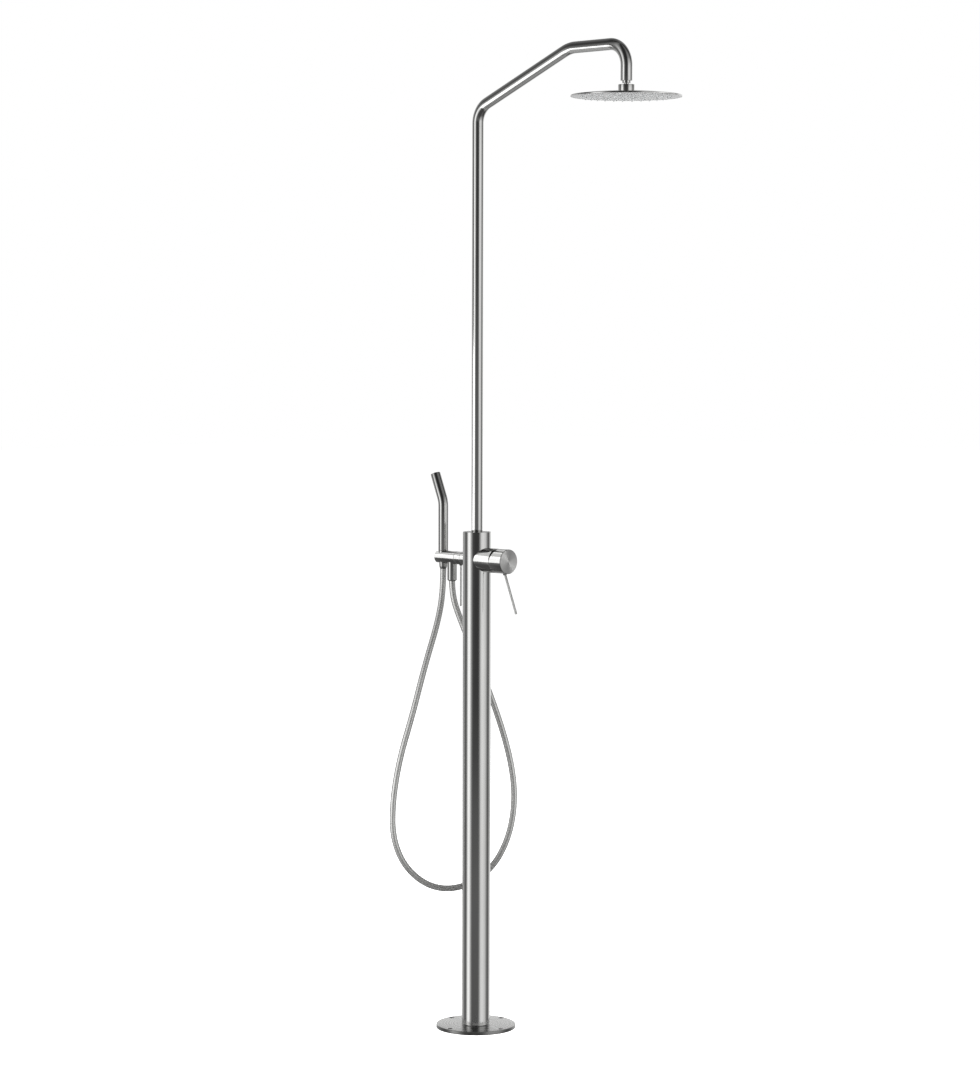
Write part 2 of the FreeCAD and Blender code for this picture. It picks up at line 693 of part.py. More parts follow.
def lever_collar():
    """Small ring round the lever's root."""
    along = lever_direction()
    return ring(LEVER_COLLAR_R, LEVER_R, lever_root() - along * LEVER_COLLAR_IN, along,
                LEVER_COLLAR_IN + LEVER_COLLAR_OUT)


def lever_pin():
    """Thin round lever whose thread clamps the stem."""
    thread = lever_inner_length()
    length = thread + LEVER_LENGTH
    shank = thread - LEVER_COLLAR_IN
    along = lever_direction()
    return lathe([
        (0, 0), (LEVER_THREAD_R, 0), (LEVER_THREAD_R, shank), (LEVER_R, shank),
        (LEVER_R, length - LEVER_TIP_ROUND), (LEVER_R - LEVER_TIP_ROUND, length), (0, length)],
        lever_root() - along * thread, along)


# ---------------------------------------------------------------- diverter and bar

def bar_socket():
    """Fixed start of the bar, cut to a saddle on the column."""
    body = ring(BAR_R, SPINE_R + PRESS, axis_point(0), BACK, SOCKET_END_Y)
    return body.cut(column_space())


def groove_starts():
    """Where the two seal grooves of the spine begin."""
    first = SOCKET_END_Y + 2 * SEAM + GROOVE_WIDTH
    last = RING_END_Y - 2 * GROOVE_WIDTH
    return [first, last]


def bar_spine():
    """Fixed tube inside the bar that the diverter ring turns on."""
    body = ring(SPINE_R, SPINE_BORE_R, axis_point(SPINE_INNER_Y), BACK,
                SPINE_OUTER_Y - SPINE_INNER_Y)
    for start in groove_starts():
        body = body.cut(ring(SPINE_R + OVERCUT, SPINE_R - GROOVE_DEPTH, axis_point(start),
                             BACK, GROOVE_WIDTH))
    return body


def spine_seals():
    """Two rubber rings in the spine's grooves."""
    return Part.makeCompound([
        ring(SPINE_R, SPINE_R - GROOVE_DEPTH, axis_point(start), BACK, GROOVE_WIDTH)
        for start in groove_starts()])


def diverter_pin_root():
    """Point where the diverter's pin leaves the ring's underside."""
    return Vec(0, DIVERTER_PIN_Y, FITTINGS_Z - BAR_R)


def diverter_ring():
    """Turning ring between the socket and the holder bar."""
    start = SOCKET_END_Y + SEAM
    bore = SPINE_R + RUN
    body = lathe([
        (bore, start), (BAR_R - RING_CHAMFER, start), (BAR_R, start + RING_CHAMFER),
        (BAR_R, RING_END_Y - RING_CHAMFER), (BAR_R - RING_CHAMFER, RING_END_Y),
        (bore, RING_END_Y)], axis_point(0), BACK)
    root = diverter_pin_root()
    wall = BAR_R - SPINE_R
    body = body.cut(rod(DIVERTER_PIN_R, root + UP * wall, DOWN, 2 * wall))
    return body.cut(rod(DIVERTER_COLLAR_R + PRESS, root + UP * wall / 2, DOWN, wall))


def diverter_collar():
    """Small ring round the root of the diverter's pin."""
    inside = (BAR_R - SPINE_R) / 2
    return ring(DIVERTER_COLLAR_R, DIVERTER_PIN_R, diverter_pin_root() + UP * inside, DOWN,
                inside + DIVERTER_COLLAR_OUT)


def diverter_pin():
    """Thin pin that turns the diverter ring."""
    inside = BAR_R - SPINE_R - 2 * RUN
    length = inside + DIVERTER_PIN_LENGTH
    return lathe([
        (0, 0), (DIVERTER_PIN_R, 0), (DIVERTER_PIN_R, length - LEVER_TIP_ROUND),
        (DIVERTER_PIN_R - LEVER_TIP_ROUND, length), (0, length)],
        diverter_pin_root() + UP * inside, DOWN)


def cone_radius(z):
    """Radius of the hand shower's seat cone at a height."""
    slope = (HANDSET_R - CONE_LOW_R) / (CONE_TOP_Z - CONE_LOW_Z)
    return CONE_LOW_R + slope * (z - CONE_LOW_Z)


def holder_bar():
    """End of the bar: hose outlet below, coned and slotted holder at its tip."""
    start = RING_END_Y + SEAM
    body = lathe([
        (0, start), (BAR_R, start), (BAR_R, BAR_END_Y - BAR_END_CHAMFER),
        (BAR_R - BAR_END_CHAMFER, BAR_END_Y), (0, BAR_END_Y)], axis_point(0), BACK)
    body = body.cut(rod(SPINE_R + PRESS, axis_point(start - OVERCUT), BACK,
                        SPINE_OUTER_Y - start + OVERCUT))
    body = body.cut(rod(SPINE_BORE_R, axis_point(start), BACK, BAR_WAY_END_Y - start))
    body = body.cut(rod(NIPPLE_THREAD_R + PRESS, axis_point(OUTLET_Y), DOWN, 2 * BAR_R))
    low = FITTINGS_Z - BAR_R - OVERCUT
    high = FITTINGS_Z + BAR_R + OVERCUT
    cone = Part.makeCone(cone_radius(low) + SEAT, cone_radius(high) + SEAT, high - low,
                         Vec(0, HANDSET_Y, low))
    slot = Part.makeBox(HOLDER_SLOT, BAR_END_Y - HANDSET_Y + OVERCUT, high - low,
                        Vec(-HOLDER_SLOT / 2, HANDSET_Y, low))
    return body.cut(cone.fuse(slot))


# ---------------------------------------------------------------- outlet and hose

def outlet_thread_z():
    """Height of the outlet nipple's lower end."""
    return FITTINGS_Z - BAR_R - OUTLET_THREAD_DEPTH


def outlet_nipple():
    """Short threaded tube from the bar into the outlet's sleeve."""
    low = outlet_thread_z()
    return ring(NIPPLE_THREAD_R, WAY_R, Vec(0, OUTLET_Y, low), UP, FITTINGS_Z - low)


def outlet_washer():
    """Sealing washer under the outlet nipple."""
    return ring(NIPPLE_THREAD_R, WAY_R, Vec(0, OUTLET_Y, outlet_thread_z()), DOWN,
                WASHER_THICK)


def outlet_nut():
    """Long round nut of the hose's fixed end, saddled to the bar."""
    seat_z = outlet_thread_z() - WASHER_THICK
    bore = NIPPLE_THREAD_R + PRESS
    tail = HOSE_BORE_R - PRESS
    body = lathe([
        (tail, OUTLET_END_Z), (OUTLET_R - OUTLET_CHAMFER, OUTLET_END_Z),
        (OUTLET_R, OUTLET_END_Z + OUTLET_CHAMFER), (OUTLET_R, FITTINGS_Z),
        (bore, FITTINGS_Z), (bore, seat_z), (tail, seat_z)], Vec(0, OUTLET_Y, 0))
    return body.cut(rod(BAR_R, axis_point(RING_END_Y), BACK, BAR_END_Y))


def hose_insert(top, y, drop):
    """Barbed tube held in a nut, whose tail reaches into the hose."""
    return ring(HOSE_BORE_R - 2 * PRESS, HOSE_BORE_R - 2 * PRESS - SUPPLY_WALL,
                Vec(0, y, top), DOWN, drop)


def outlet_insert():
    """Insert at the hose's fixed end."""
    top = outlet_thread_z() - WASHER_THICK
    return hose_insert(top, OUTLET_Y, top - OUTLET_END_Z + INSERT_LENGTH)


def hose_points():
    """The hose's route with its two ends."""
    start = Vec(0, OUTLET_Y, OUTLET_END_Z)
    end = Vec(0, HANDSET_Y, CONE_NOSE_Z)
    return [start] + [Vec(*point) for point in HOSE_ROUTE] + [end]


def hose_radii(points):
    """Bend radii as large as each pair of runs allows."""
    lengths = [(b - a).Length for a, b in zip(points, points[1:])]
    runs = directions_of(points)
    return [BEND_SHARE * min(before, after) / math.tan(turn_between(come, go) / 2)
            for before, after, come, go in zip(lengths, lengths[1:], runs, runs[1:])]


def shower_hose():
    """Smooth flexible hose with its bore."""
    points = hose_points()
    radii = hose_radii(points)
    hose = swept_tube(HOSE_R, HOSE_BORE_R, points, radii)
    length = bent_wire(points, radii).Length
    section = math.pi * (HOSE_R ** 2 - HOSE_BORE_R ** 2)
    print("hose bend radii:", [round(radius) for radius in radii])
    print("hose length %.1f, volume over section x length %.5f"
          % (length, hose.Volume / (section * length)))
    return hose


# ---------------------------------------------------------------- hand shower

def handset_nut():
    """Coned hose nut that rests in the holder."""
    seat_z = CONE_TOP_Z - CONE_THREAD_DEPTH - WASHER_THICK
    bore = NIPPLE_THREAD_R + PRESS
    tail = HOSE_BORE_R - PRESS
    return lathe([
        (tail, CONE_NOSE_Z), (HOSE_R, CONE_NOSE_Z), (CONE_LOW_R, CONE_LOW_Z),
        (HANDSET_R, CONE_TOP_Z), (bore, CONE_TOP_Z), (bore, seat_z), (tail, seat_z)],
        Vec(0, HANDSET_Y, 0))


def handset_washer():
    """Sealing washer under the hand shower's thread."""
    return ring(NIPPLE_THREAD_R, WAY_R,
                Vec(0, HANDSET_Y, CONE_TOP_Z - CONE_THREAD_DEPTH - SEAM), DOWN,
                WASHER_THICK - SEAM)


def handset_insert():
    """Insert at the hand shower's end of the hose."""
    top = CONE_TOP_Z - CONE_THREAD_DEPTH - WASHER_THICK
    return hose_insert(top, HANDSET_Y, top - CONE_NOSE_Z + INSERT_LENGTH)


def handset_points():
    """Corners of the hand shower's centre line."""
    tilt = math.radians(HANDSET_TILT_DEG)
    bend = Vec(0, HANDSET_Y, HANDSET_BEND_Z)
    tip = bend + Vec(0, math.sin(tilt), math.cos(tilt)) * HANDSET_TIP_LENGTH
    return [Vec(0, HANDSET_Y, CONE_TOP_Z + SEAM), bend, tip]


def handset_tube():
    """Plain stick of the hand shower with its leaning tip."""
    return swept_tube(HANDSET_R, HANDSET_R - HANDSET_WALL, handset_points(), [HANDSET_BEND_R])


def handset_coupler():
    """Threaded end of the hand shower."""
    low = CONE_TOP_Z - CONE_THREAD_DEPTH
    joint = CONE_TOP_Z + SEAM
    return lathe([
        (WAY_R, low), (NIPPLE_THREAD_R, low), (NIPPLE_THREAD_R, joint),
        (HANDSET_R - HANDSET_WALL - PRESS, joint),
        (HANDSET_R - HANDSET_WALL - PRESS, joint + COUPLER_GRIP), (WAY_R, joint + COUPLER_GRIP)],
        Vec(0, HANDSET_Y, 0))


def spray_insert():
    """Spray face with its jets, set just inside the tip."""
    bend, tip = handset_points()[1:]
    along = (tip - bend).normalize()
    face = tip - along * (SPRAY_THICK + SPRAY_RECESS)
    body = rod(HANDSET_R - HANDSET_WALL - PRESS, face, along, SPRAY_THICK)
    across = SIDE.cross(along)
    holes = []
    for index in range(SPRAY_HOLES):
        angle = 2 * math.pi * index / SPRAY_HOLES
        offset = (SIDE * math.cos(angle) + across * math.sin(angle)) * SPRAY_HOLE_CIRCLE_R
        holes.append(rod(SPRAY_HOLE_R, face + offset - along * OVERCUT, along,
                         SPRAY_THICK + 2 * OVERCUT))
    return body.cut(holes)


# ---------------------------------------------------------------- the whole part

def all_nodes():
    """Every sub-part by its node's name."""
    return {
        "base_flange": base_flange(),
        "column_tube": column_tube(),
        "column_cap": column_cap(),
        "riser_seal": riser_seal(),
        "hot_supply_pipe": supply_pipe(-1),
        "cold_supply_pipe": supply_pipe(1),
        "valve_block": valve_block(),
        "riser_arm": riser_arm(),
        "ball_stem": ball_stem(),
        "ball_seat": ball_seat(),
        "swivel_nut": swivel_nut(),
        "head_hub": head_hub(),
        "head_shell": head_shell(),
        "spray_plate": spray_plate(),
        "nozzle_mat": nozzle_mat(),
        "head_gasket": head_gasket(),
        "mixer_sleeve": mixer_sleeve(),
        "cartridge_housing": cartridge_housing(),
        "cartridge": cartridge(),
        "cartridge_nut": cartridge_nut(),
        "cartridge_carrier": cartridge_carrier(),
        "pivot_pin": pivot_pin(),
        "cartridge_stem": cartridge_stem(),
        "mixer_cap": mixer_cap(),
        "lever_collar": lever_collar(),
        "lever_pin": lever_pin(),
        "bar_socket": bar_socket(),
        "bar_spine": bar_spine(),
        "spine_seals": spine_seals(),
        "diverter_ring": diverter_ring(),
        "diverter_collar": diverter_collar(),
        "diverter_pin": diverter_pin(),
        "holder_bar": holder_bar(),
        "outlet_nipple": outlet_nipple(),
        "outlet_washer": outlet_washer(),
        "outlet_nut": outlet_nut(),
        "outlet_insert": outlet_insert(),
        "shower_hose": shower_hose(),
        "handset_nut": handset_nut(),
        "handset_washer": handset_washer(),
        "handset_insert": handset_insert(),
        "handset_tube": handset_tube(),
        "handset_coupler": handset_coupler(),
        "spray_insert": spray_insert(),
    }


def write_nodes(folder):
    """Write one STEP file for each node and report what it holds."""
    os.makedirs(folder, exist_ok=True)
    for name, shape in all_nodes().items():
        shape.exportStep("%s/%s.step" % (folder, name))
        print("%-18s solids %d valid %s volume %.1f"
              % (name, len(shape.Solids), shape.isValid(), shape.Volume))


write_nodes("parts")
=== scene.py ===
"""Looks of an outdoor shower post: steel tubes, an overhead head, a lever mixer and a hose."""

import logging
import math
from collections.abc import Callable, Iterable
from dataclasses import dataclass, replace
from enum import Enum, IntEnum
from functools import cache
from itertools import accumulate

import bmesh
import bpy
from mathutils import Matrix, Vector


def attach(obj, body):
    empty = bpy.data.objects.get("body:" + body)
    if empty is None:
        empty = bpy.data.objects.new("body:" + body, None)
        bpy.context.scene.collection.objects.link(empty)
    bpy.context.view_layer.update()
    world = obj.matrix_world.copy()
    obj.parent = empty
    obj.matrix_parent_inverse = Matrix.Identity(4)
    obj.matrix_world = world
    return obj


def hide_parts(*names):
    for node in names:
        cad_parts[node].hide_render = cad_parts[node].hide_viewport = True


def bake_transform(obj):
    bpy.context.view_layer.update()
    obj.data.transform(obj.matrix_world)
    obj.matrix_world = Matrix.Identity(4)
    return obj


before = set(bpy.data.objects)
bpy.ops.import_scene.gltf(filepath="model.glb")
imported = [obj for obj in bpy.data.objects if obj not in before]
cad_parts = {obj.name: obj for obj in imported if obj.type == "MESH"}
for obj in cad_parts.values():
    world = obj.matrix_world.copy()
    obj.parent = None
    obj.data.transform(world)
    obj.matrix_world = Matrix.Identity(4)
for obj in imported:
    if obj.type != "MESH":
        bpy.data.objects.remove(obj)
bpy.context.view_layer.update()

LOG = logging.getLogger("shower_post")

Node = bpy.types.Node
Piece = bpy.types.Object
Socket = bpy.types.NodeSocket
Tree = bpy.types.NodeTree
Triple = tuple[float, float, float]

ORIGIN = Vector((0.0, 0.0, 0.0))
UP = Vector((0.0, 0.0, 1.0))
FRONT = Vector((0.0, -1.0, 0.0))
BACK = Vector((0.0, 1.0, 0.0))
SIDE = Vector((1.0, 0.0, 0.0))

FILLET_STEPS = 4         # facets across a rounded edge
FILLET_SHARE = 0.45      # most of a side that its rounded edge may take
SHARP_DEG = 32.0         # creases sharper than this stay crisp
SEAM = 0.0003            # gap between faces that pass each other
CLEAR = 0.001            # how far a cutter stands out of what it cuts
ON_AXIS = 1e-7           # a radius under this is a point of the axis
NEAR_SIDE = 0.9          # an axis with more x than this points too much along SIDE


class Facets(IntEnum):
    """Facets round a piece, by its size."""

    HEAD = 160
    WIDE = 128
    MIDDLE = 96
    PIPE = 64
    SMALL = 48
    PIN = 32


# ---- nodes

def feed(tree: Tree, node: Node, inputs: dict[str | int, object]) -> None:
    """Give inputs of a node their sources or values.

    Args:
        tree: the tree that holds the node.
        node: the node to feed.
        inputs: a socket or a plain value for each input's name or number.
    """
    for label, value in inputs.items():
        if isinstance(value, Socket):
            tree.links.new(value, node.inputs[label])
        else:
            node.inputs[label].default_value = value


def add_node(tree: Tree, kind: str, inputs: dict[str | int, object] | None = None,
             **settings: object) -> Node:
    """Add a node to a tree.

    Args:
        tree: the tree that gets it.
        kind: the node's type.
        inputs: what feeds its inputs.
        settings: values of its own properties.

    Returns:
        The new node.
    """
    node = tree.nodes.new(kind)
    for label, value in settings.items():
        setattr(node, label, value)
    feed(tree, node, inputs or {})
    return node


def math_node(tree: Tree, kind: str, *values: float | Socket) -> Socket:
    """Output of a new Math node that does one operation on numbers or sockets."""
    return add_node(tree, "ShaderNodeMath", dict(enumerate(values)), operation=kind).outputs[0]


def new_group(name: str, kind: str, inputs: dict[str, str],
              outputs: dict[str, str]) -> tuple[Tree, bpy.types.bpy_prop_collection, Node]:
    """Make a node group with its sockets and no content.

    Args:
        name: the group's name.
        kind: the type of its tree.
        inputs: socket kind for each input's name.
        outputs: socket kind for each output's name.

    Returns:
        Its tree, the sockets that bring its inputs, and its output node.
    """
    tree = bpy.data.node_groups.new(name, kind)
    for side, sockets in (("INPUT", inputs), ("OUTPUT", outputs)):
        for label, socket in sockets.items():
            tree.interface.new_socket(label, in_out=side, socket_type="NodeSocket" + socket)
    come = add_node(tree, "NodeGroupInput")
    return tree, come.outputs, add_node(tree, "NodeGroupOutput")


@cache
def grain_group(detail: float = 3.0) -> Tree:
    """Fine polishing lines: a height and a roughness that follow a stretched noise.

    Args:
        detail: octaves of its noise.

    Returns:
        The shared group, made on its first use.
    """
    tree, given, result = new_group(
        "polishing_grain", "ShaderNodeTree",
        {"Vector": "Vector", "Along": "Float", "Across": "Float", "Base Roughness": "Float",
         "Spread": "Float"}, {"Roughness": "Float", "Height": "Float"})
    stretch = add_node(tree, "ShaderNodeCombineXYZ", {
        "X": given["Along"], "Y": given["Across"], "Z": given["Along"]})
    scaled = add_node(tree, "ShaderNodeVectorMath", {
        0: given["Vector"], 1: stretch.outputs[0]}, operation="MULTIPLY")
    lines = add_node(tree, "ShaderNodeTexNoise", {
        "Scale": 1.0, "Detail": detail, "Vector": scaled.outputs[0]}).outputs[0]
    spread = math_node(tree, "MULTIPLY", math_node(tree, "SUBTRACT", lines, 0.5), given["Spread"])
    feed(tree, result, {"Roughness": math_node(tree, "ADD", spread, given["Base Roughness"]),
                        "Height": lines})
    return tree


@cache
def mottle_group(detail: float = 4.0) -> Tree:
    """Large soft patches, as handling leaves on metal and plastic, that shift a colour a little.

    Args:
        detail: octaves of its noise.

    Returns:
        The shared group, made on its first use.
    """
    tree, given, result = new_group(
        "soft_mottle", "ShaderNodeTree",
        {"Vector": "Vector", "Scale": "Float", "Dark": "Color", "Light": "Color"},
        {"Color": "Color"})
    patches = add_node(tree, "ShaderNodeTexNoise", {
        "Detail": detail, "Vector": given["Vector"], "Scale": given["Scale"]})
    mix = add_node(tree, "ShaderNodeMix", {
        0: patches.outputs[0], 6: given["Dark"], 7: given["Light"]}, data_type="RGBA")
    feed(tree, result, {"Color": mix.outputs[2]})
    return tree


# ---- finishes

class Coordinates(Enum):
    """Where a finish reads its pattern."""

    OBJECT = "Object"
    UV = "UV"


@dataclass(frozen=True)
class Finish:
    """A surface: its colour range, roughness and the scale of its grain."""

    name: str
    dark: Triple
    light: Triple
    roughness: float
    metallic: float = 0.0
    coordinates: Coordinates = Coordinates.UV
    along: float = 3.0
    across: float = 1200.0
    spread: float = 0.05
    bump: float = 0.02
    bump_depth: float = 0.00002
    patch_scale: float = 9.0
    anisotropic: float = 0.0
    anisotropic_turn: float = 0.25
    coat: float = 0.0
    specular: float = 0.5

    def material(self) -> bpy.types.Material:
        """Material of this finish's name: the frame's or an earlier one, or else a new one.

        Returns:
            The material.
        """
        found = bpy.data.materials.get(self.name)
        if found is not None:
            return found
        material = bpy.data.materials.new(self.name)
        material.use_nodes = True
        tree = material.node_tree
        where = add_node(tree, "ShaderNodeTexCoord").outputs[self.coordinates.value]
        mottle = add_node(tree, "ShaderNodeGroup", {
            "Vector": where, "Scale": self.patch_scale, "Dark": (*self.dark, 1.0),
            "Light": (*self.light, 1.0)}, node_tree=mottle_group())
        grain = add_node(tree, "ShaderNodeGroup", {
            "Vector": where, "Along": self.along, "Across": self.across,
            "Base Roughness": self.roughness, "Spread": self.spread}, node_tree=grain_group())
        bump = add_node(tree, "ShaderNodeBump", {
            "Strength": self.bump, "Distance": self.bump_depth,
            "Height": grain.outputs["Height"]})
        shader = tree.nodes["Principled BSDF"]
        feed(tree, shader, {
            "Base Color": mottle.outputs["Color"], "Roughness": grain.outputs["Roughness"],
            "Normal": bump.outputs["Normal"], "Metallic": self.metallic,
            "Anisotropic": self.anisotropic, "Coat Weight": self.coat,
            "Specular IOR Level": self.specular})
        if self.anisotropic:
            tangent = add_node(tree, "ShaderNodeTangent", direction_type="UV_MAP")
            feed(tree, shader, {"Anisotropic Rotation": self.anisotropic_turn,
                                "Tangent": tangent.outputs[0]})
        return material


def by_object(name: str, dark: Triple, light: Triple, roughness: float, along: float,
              across: float | None = None, **more: float) -> Finish:
    """Finish whose grain follows the piece's own axes, as fine along as across if not told."""
    return Finish(name, dark, light, roughness, coordinates=Coordinates.OBJECT, along=along,
                  across=across or along, **more)


STEEL = ((0.60, 0.60, 0.59), (0.68, 0.68, 0.67))

POLISHED = Finish("polished_steel", *STEEL, 0.13, metallic=1.0)
SATIN = Finish("satin_steel", *STEEL, 0.27, metallic=1.0, spread=0.08, bump=0.05)
TURNED = Finish("turned_steel", *STEEL, 0.30, metallic=1.0, anisotropic=0.85, across=2600.0,
                spread=0.10, bump=0.06)
CUT_EDGE = Finish("cut_edge_steel", (0.24, 0.24, 0.235), (0.30, 0.30, 0.295), 0.30, metallic=1.0)
HOSE_SKIN = Finish("silver_hose", (0.50, 0.50, 0.49), (0.58, 0.58, 0.57), 0.20, metallic=0.82,
                   coat=0.3, across=500.0, along=6.0, spread=0.06)
SPRAY_STEEL = by_object("spray_plate_steel", (0.64, 0.64, 0.64), (0.70, 0.70, 0.70), 0.42, 40.0,
                        900.0, metallic=1.0, bump=0.04)
SILICONE = by_object("grey_silicone", (0.44, 0.45, 0.45), (0.50, 0.51, 0.51), 0.60, 200.0,
                     bump=0.03, specular=0.2)
BRASS = by_object("turned_brass", (0.60, 0.43, 0.17), (0.70, 0.52, 0.24), 0.30, 60.0, 900.0,
                  metallic=1.0)
COPPER = by_object("drawn_copper", (0.66, 0.33, 0.20), (0.76, 0.42, 0.28), 0.32, 400.0,
                   metallic=1.0)
RUBBER = by_object("black_rubber", (0.015, 0.015, 0.015), (0.03, 0.03, 0.03), 0.60, 500.0,
                   bump=0.08)
PLASTIC = by_object("white_plastic", (0.78, 0.77, 0.73), (0.86, 0.85, 0.82), 0.42, 200.0)
INNER_STEEL = by_object("inner_steel", *STEEL, 0.30, 60.0, 900.0, metallic=1.0)

# the frame brings plain materials of these three names, and they are used as they come;
# the values here stand in only where it brings none
BRUSHED = replace(SATIN, name="brushed_steel", roughness=0.38)
DARK_RING = by_object("dark_collar", (0.02, 0.02, 0.02), (0.035, 0.035, 0.035), 0.38, 300.0)
SPRAY_FACE = by_object("spray_face", (0.50, 0.51, 0.52), (0.56, 0.57, 0.58), 0.40, 150.0)


# ---- mesh helpers

@dataclass(frozen=True)
class Corner:
    """A point of a turned outline: radius, height and the rounding of its edge."""

    radius: float
    height: float
    round: float = 0.0


def barrel(inner: float, outer: float, low: float, high: float, low_edge: float = 0.0,
           high_edge: float = 0.0, mouth: float = 0.0) -> list[Corner]:
    """Outline of a straight barrel or disc.

    Args:
        inner: bore radius, 0 for none.
        outer: outer radius.
        low: where it starts.
        high: where it ends.
        low_edge: rounding of its outer edge at the start.
        high_edge: rounding of its outer edge at the end.
        mouth: rounding of its bore's edge at the end.

    Returns:
        The outline's corners.
    """
    return [Corner(inner, low), Corner(outer, low, low_edge), Corner(outer, high, high_edge),
            Corner(inner, high, mouth)]


def rounded_outline(corners: list[Corner], closed: bool) -> list[tuple[float, float]]:
    """Replace each rounded corner of an outline by an arc.

    Args:
        corners: the outline's corners in order.
        closed: whether the last corner joins the first.

    Returns:
        Points (radius, height) of the finished outline.
    """
    points = []
    count = len(corners)
    places = [Vector((corner.radius, corner.height)) for corner in corners]
    for index, (corner, here) in enumerate(zip(corners, places)):
        if corner.round <= 0.0 or not closed and index in (0, count - 1):
            points.append((here.x, here.y))
            continue
        come = places[index - 1] - here
        go = places[(index + 1) % count] - here
        reach = min(corner.round, FILLET_SHARE * come.length, FILLET_SHARE * go.length)
        first = here + come.normalized() * reach
        last = here + go.normalized() * reach
        for step in range(FILLET_STEPS + 1):
            t = step / FILLET_STEPS
            point = first.lerp(here, t).lerp(here.lerp(last, t), t)
            points.append((point.x, point.y))
    return points


def add_object(name: str, data: bpy.types.ID) -> Piece:
    """New object with its data, linked to the scene.

    Args:
        name: the object's name.
        data: its mesh, curve, light or camera.

    Returns:
        The new object.
    """
    made = bpy.data.objects.new(name, data)
    bpy.context.scene.collection.objects.link(made)
    return made


def smooth(mesh: bpy.types.Mesh) -> None:
    """Shade a mesh smooth between its creases."""
    mesh.shade_smooth()
    mesh.set_sharp_from_angle(angle=math.radians(SHARP_DEG))


def applied_mesh(piece: Piece) -> bpy.types.Mesh:
    """New mesh of an object as its modifiers or its curve make it.

    Args:
        piece: the object.

    Returns:
        The new mesh.
    """
    bpy.context.view_layer.update()
    graph = bpy.context.evaluated_depsgraph_get()
    return bpy.data.meshes.new_from_object(piece.evaluated_get(graph))


def apply_modifiers(piece: Piece) -> None:
    """Put a piece's applied mesh in place of its mesh and modifiers.

    Args:
        piece: the piece.
    """
    made = applied_mesh(piece)
    piece.modifiers.clear()
    old, piece.data = piece.data, made
    made.name = piece.name
    bpy.data.meshes.remove(old)


def running(steps: Iterable[float], start: float = 0.0) -> list[float]:
    """Length reached before the first step and after each one."""
    return list(accumulate(steps, initial=start))


def finish_mesh(name: str, verts: list[Vector], faces: list[tuple[int, ...]],
                uvs: list[list[tuple[float, float]]], finish: Finish) -> Piece:
    """Turn lists into a smooth object with a UV map and its material.

    Args:
        name: the piece's name.
        verts: its points in the part's frame.
        faces: its faces as vertex indices.
        uvs: one (u, v) for each corner of each face.
        finish: its surface.

    Returns:
        The new object, linked to the scene.
    """
    mesh = bpy.data.meshes.new(name)
    mesh.from_pydata([tuple(v) for v in verts], [], faces)
    layer = mesh.uv_layers.new(name="UVMap")
    for polygon, corners in zip(mesh.polygons, uvs):
        for loop, uv in zip(polygon.loop_indices, corners):
            layer.data[loop].uv = uv
    work = bmesh.new()
    work.from_mesh(mesh)
    bmesh.ops.recalc_face_normals(work, faces=work.faces)
    work.to_mesh(mesh)
    work.free()
    smooth(mesh)
    mesh.materials.append(finish.material())
    return add_object(name, mesh)


def skin(name: str, rows: list[list[Vector]], lengths: list[float], finish: Finish,
         closed: bool = False) -> Piece:
    """Surface over rows of points, each joined to the next.

    Args:
        name: the piece's name.
        rows: rows of as many points each; a row of one point closes an end.
        lengths: the pattern's length at each row, and where the last meets the first.
        finish: its surface.
        closed: whether the last row joins the first.

    Returns:
        The piece.
    """
    around = max(len(row) for row in rows)
    verts, numbers, faces, uvs = [], [], [], []
    for row in rows:
        spread = 1 if len(row) > 1 else 0
        numbers.append([len(verts) + spread * step for step in range(around)])
        verts += row
    after_rows = numbers[1:] + (numbers[:1] if closed else [])
    for low, high, v0, v1 in zip(numbers, after_rows, lengths, lengths[1:]):
        for step in range(around):
            after = (step + 1) % around
            u0, u1 = step / around, (step + 1) / around
            kept = {}
            for index, uv in ((low[step], (u0, v0)), (low[after], (u1, v0)),
                              (high[after], (u1, v1)), (high[step], (u0, v1))):
                kept.setdefault(index, uv)
            if len(kept) >= 3:
                faces.append(tuple(kept))
                uvs.append(list(kept.values()))
    return finish_mesh(name, verts, faces, uvs, finish)


def cross_frame(axis: Vector) -> tuple[Vector, Vector]:
    """Two unit vectors square to an axis and to each other.

    Args:
        axis: a unit vector.

    Returns:
        The two unit vectors.
    """
    helper = SIDE if abs(axis.x) < NEAR_SIDE else UP
    first = axis.cross(helper).normalized()
    return first, axis.cross(first).normalized()


def spokes_round(first: Vector, second: Vector, around: int) -> list[Vector]:
    """Even unit spokes in the plane of two unit vectors."""
    turns = [2 * math.pi * step / around for step in range(around)]
    return [first * math.cos(turn) + second * math.sin(turn) for turn in turns]


def lathe(name: str, corners: list[Corner], base: Vector, axis: Vector, finish: Finish,
          around: int = Facets.MIDDLE, closed: bool = False) -> Piece:
    """Turned piece about an axis.

    Args:
        name: the piece's name.
        corners: its outline; an open outline starts and ends on the axis.
        base: where height 0 lies.
        axis: unit direction of growing height.
        finish: its surface.
        around: number of facets round the axis.
        closed: whether the outline closes on itself, as on a ring.

    Returns:
        The turned piece.
    """
    outline = rounded_outline(corners, closed)
    spokes = spokes_round(*cross_frame(axis), around)
    rows = []
    for radius, height in outline:
        middle = base + axis * height
        rows.append([middle] if radius < ON_AXIS else
                    [middle + spoke * radius for spoke in spokes])
    lengths = running(math.dist(a, b) for a, b in zip(outline, outline[1:] + outline[:1]))
    return skin(name, rows, lengths, finish, closed)


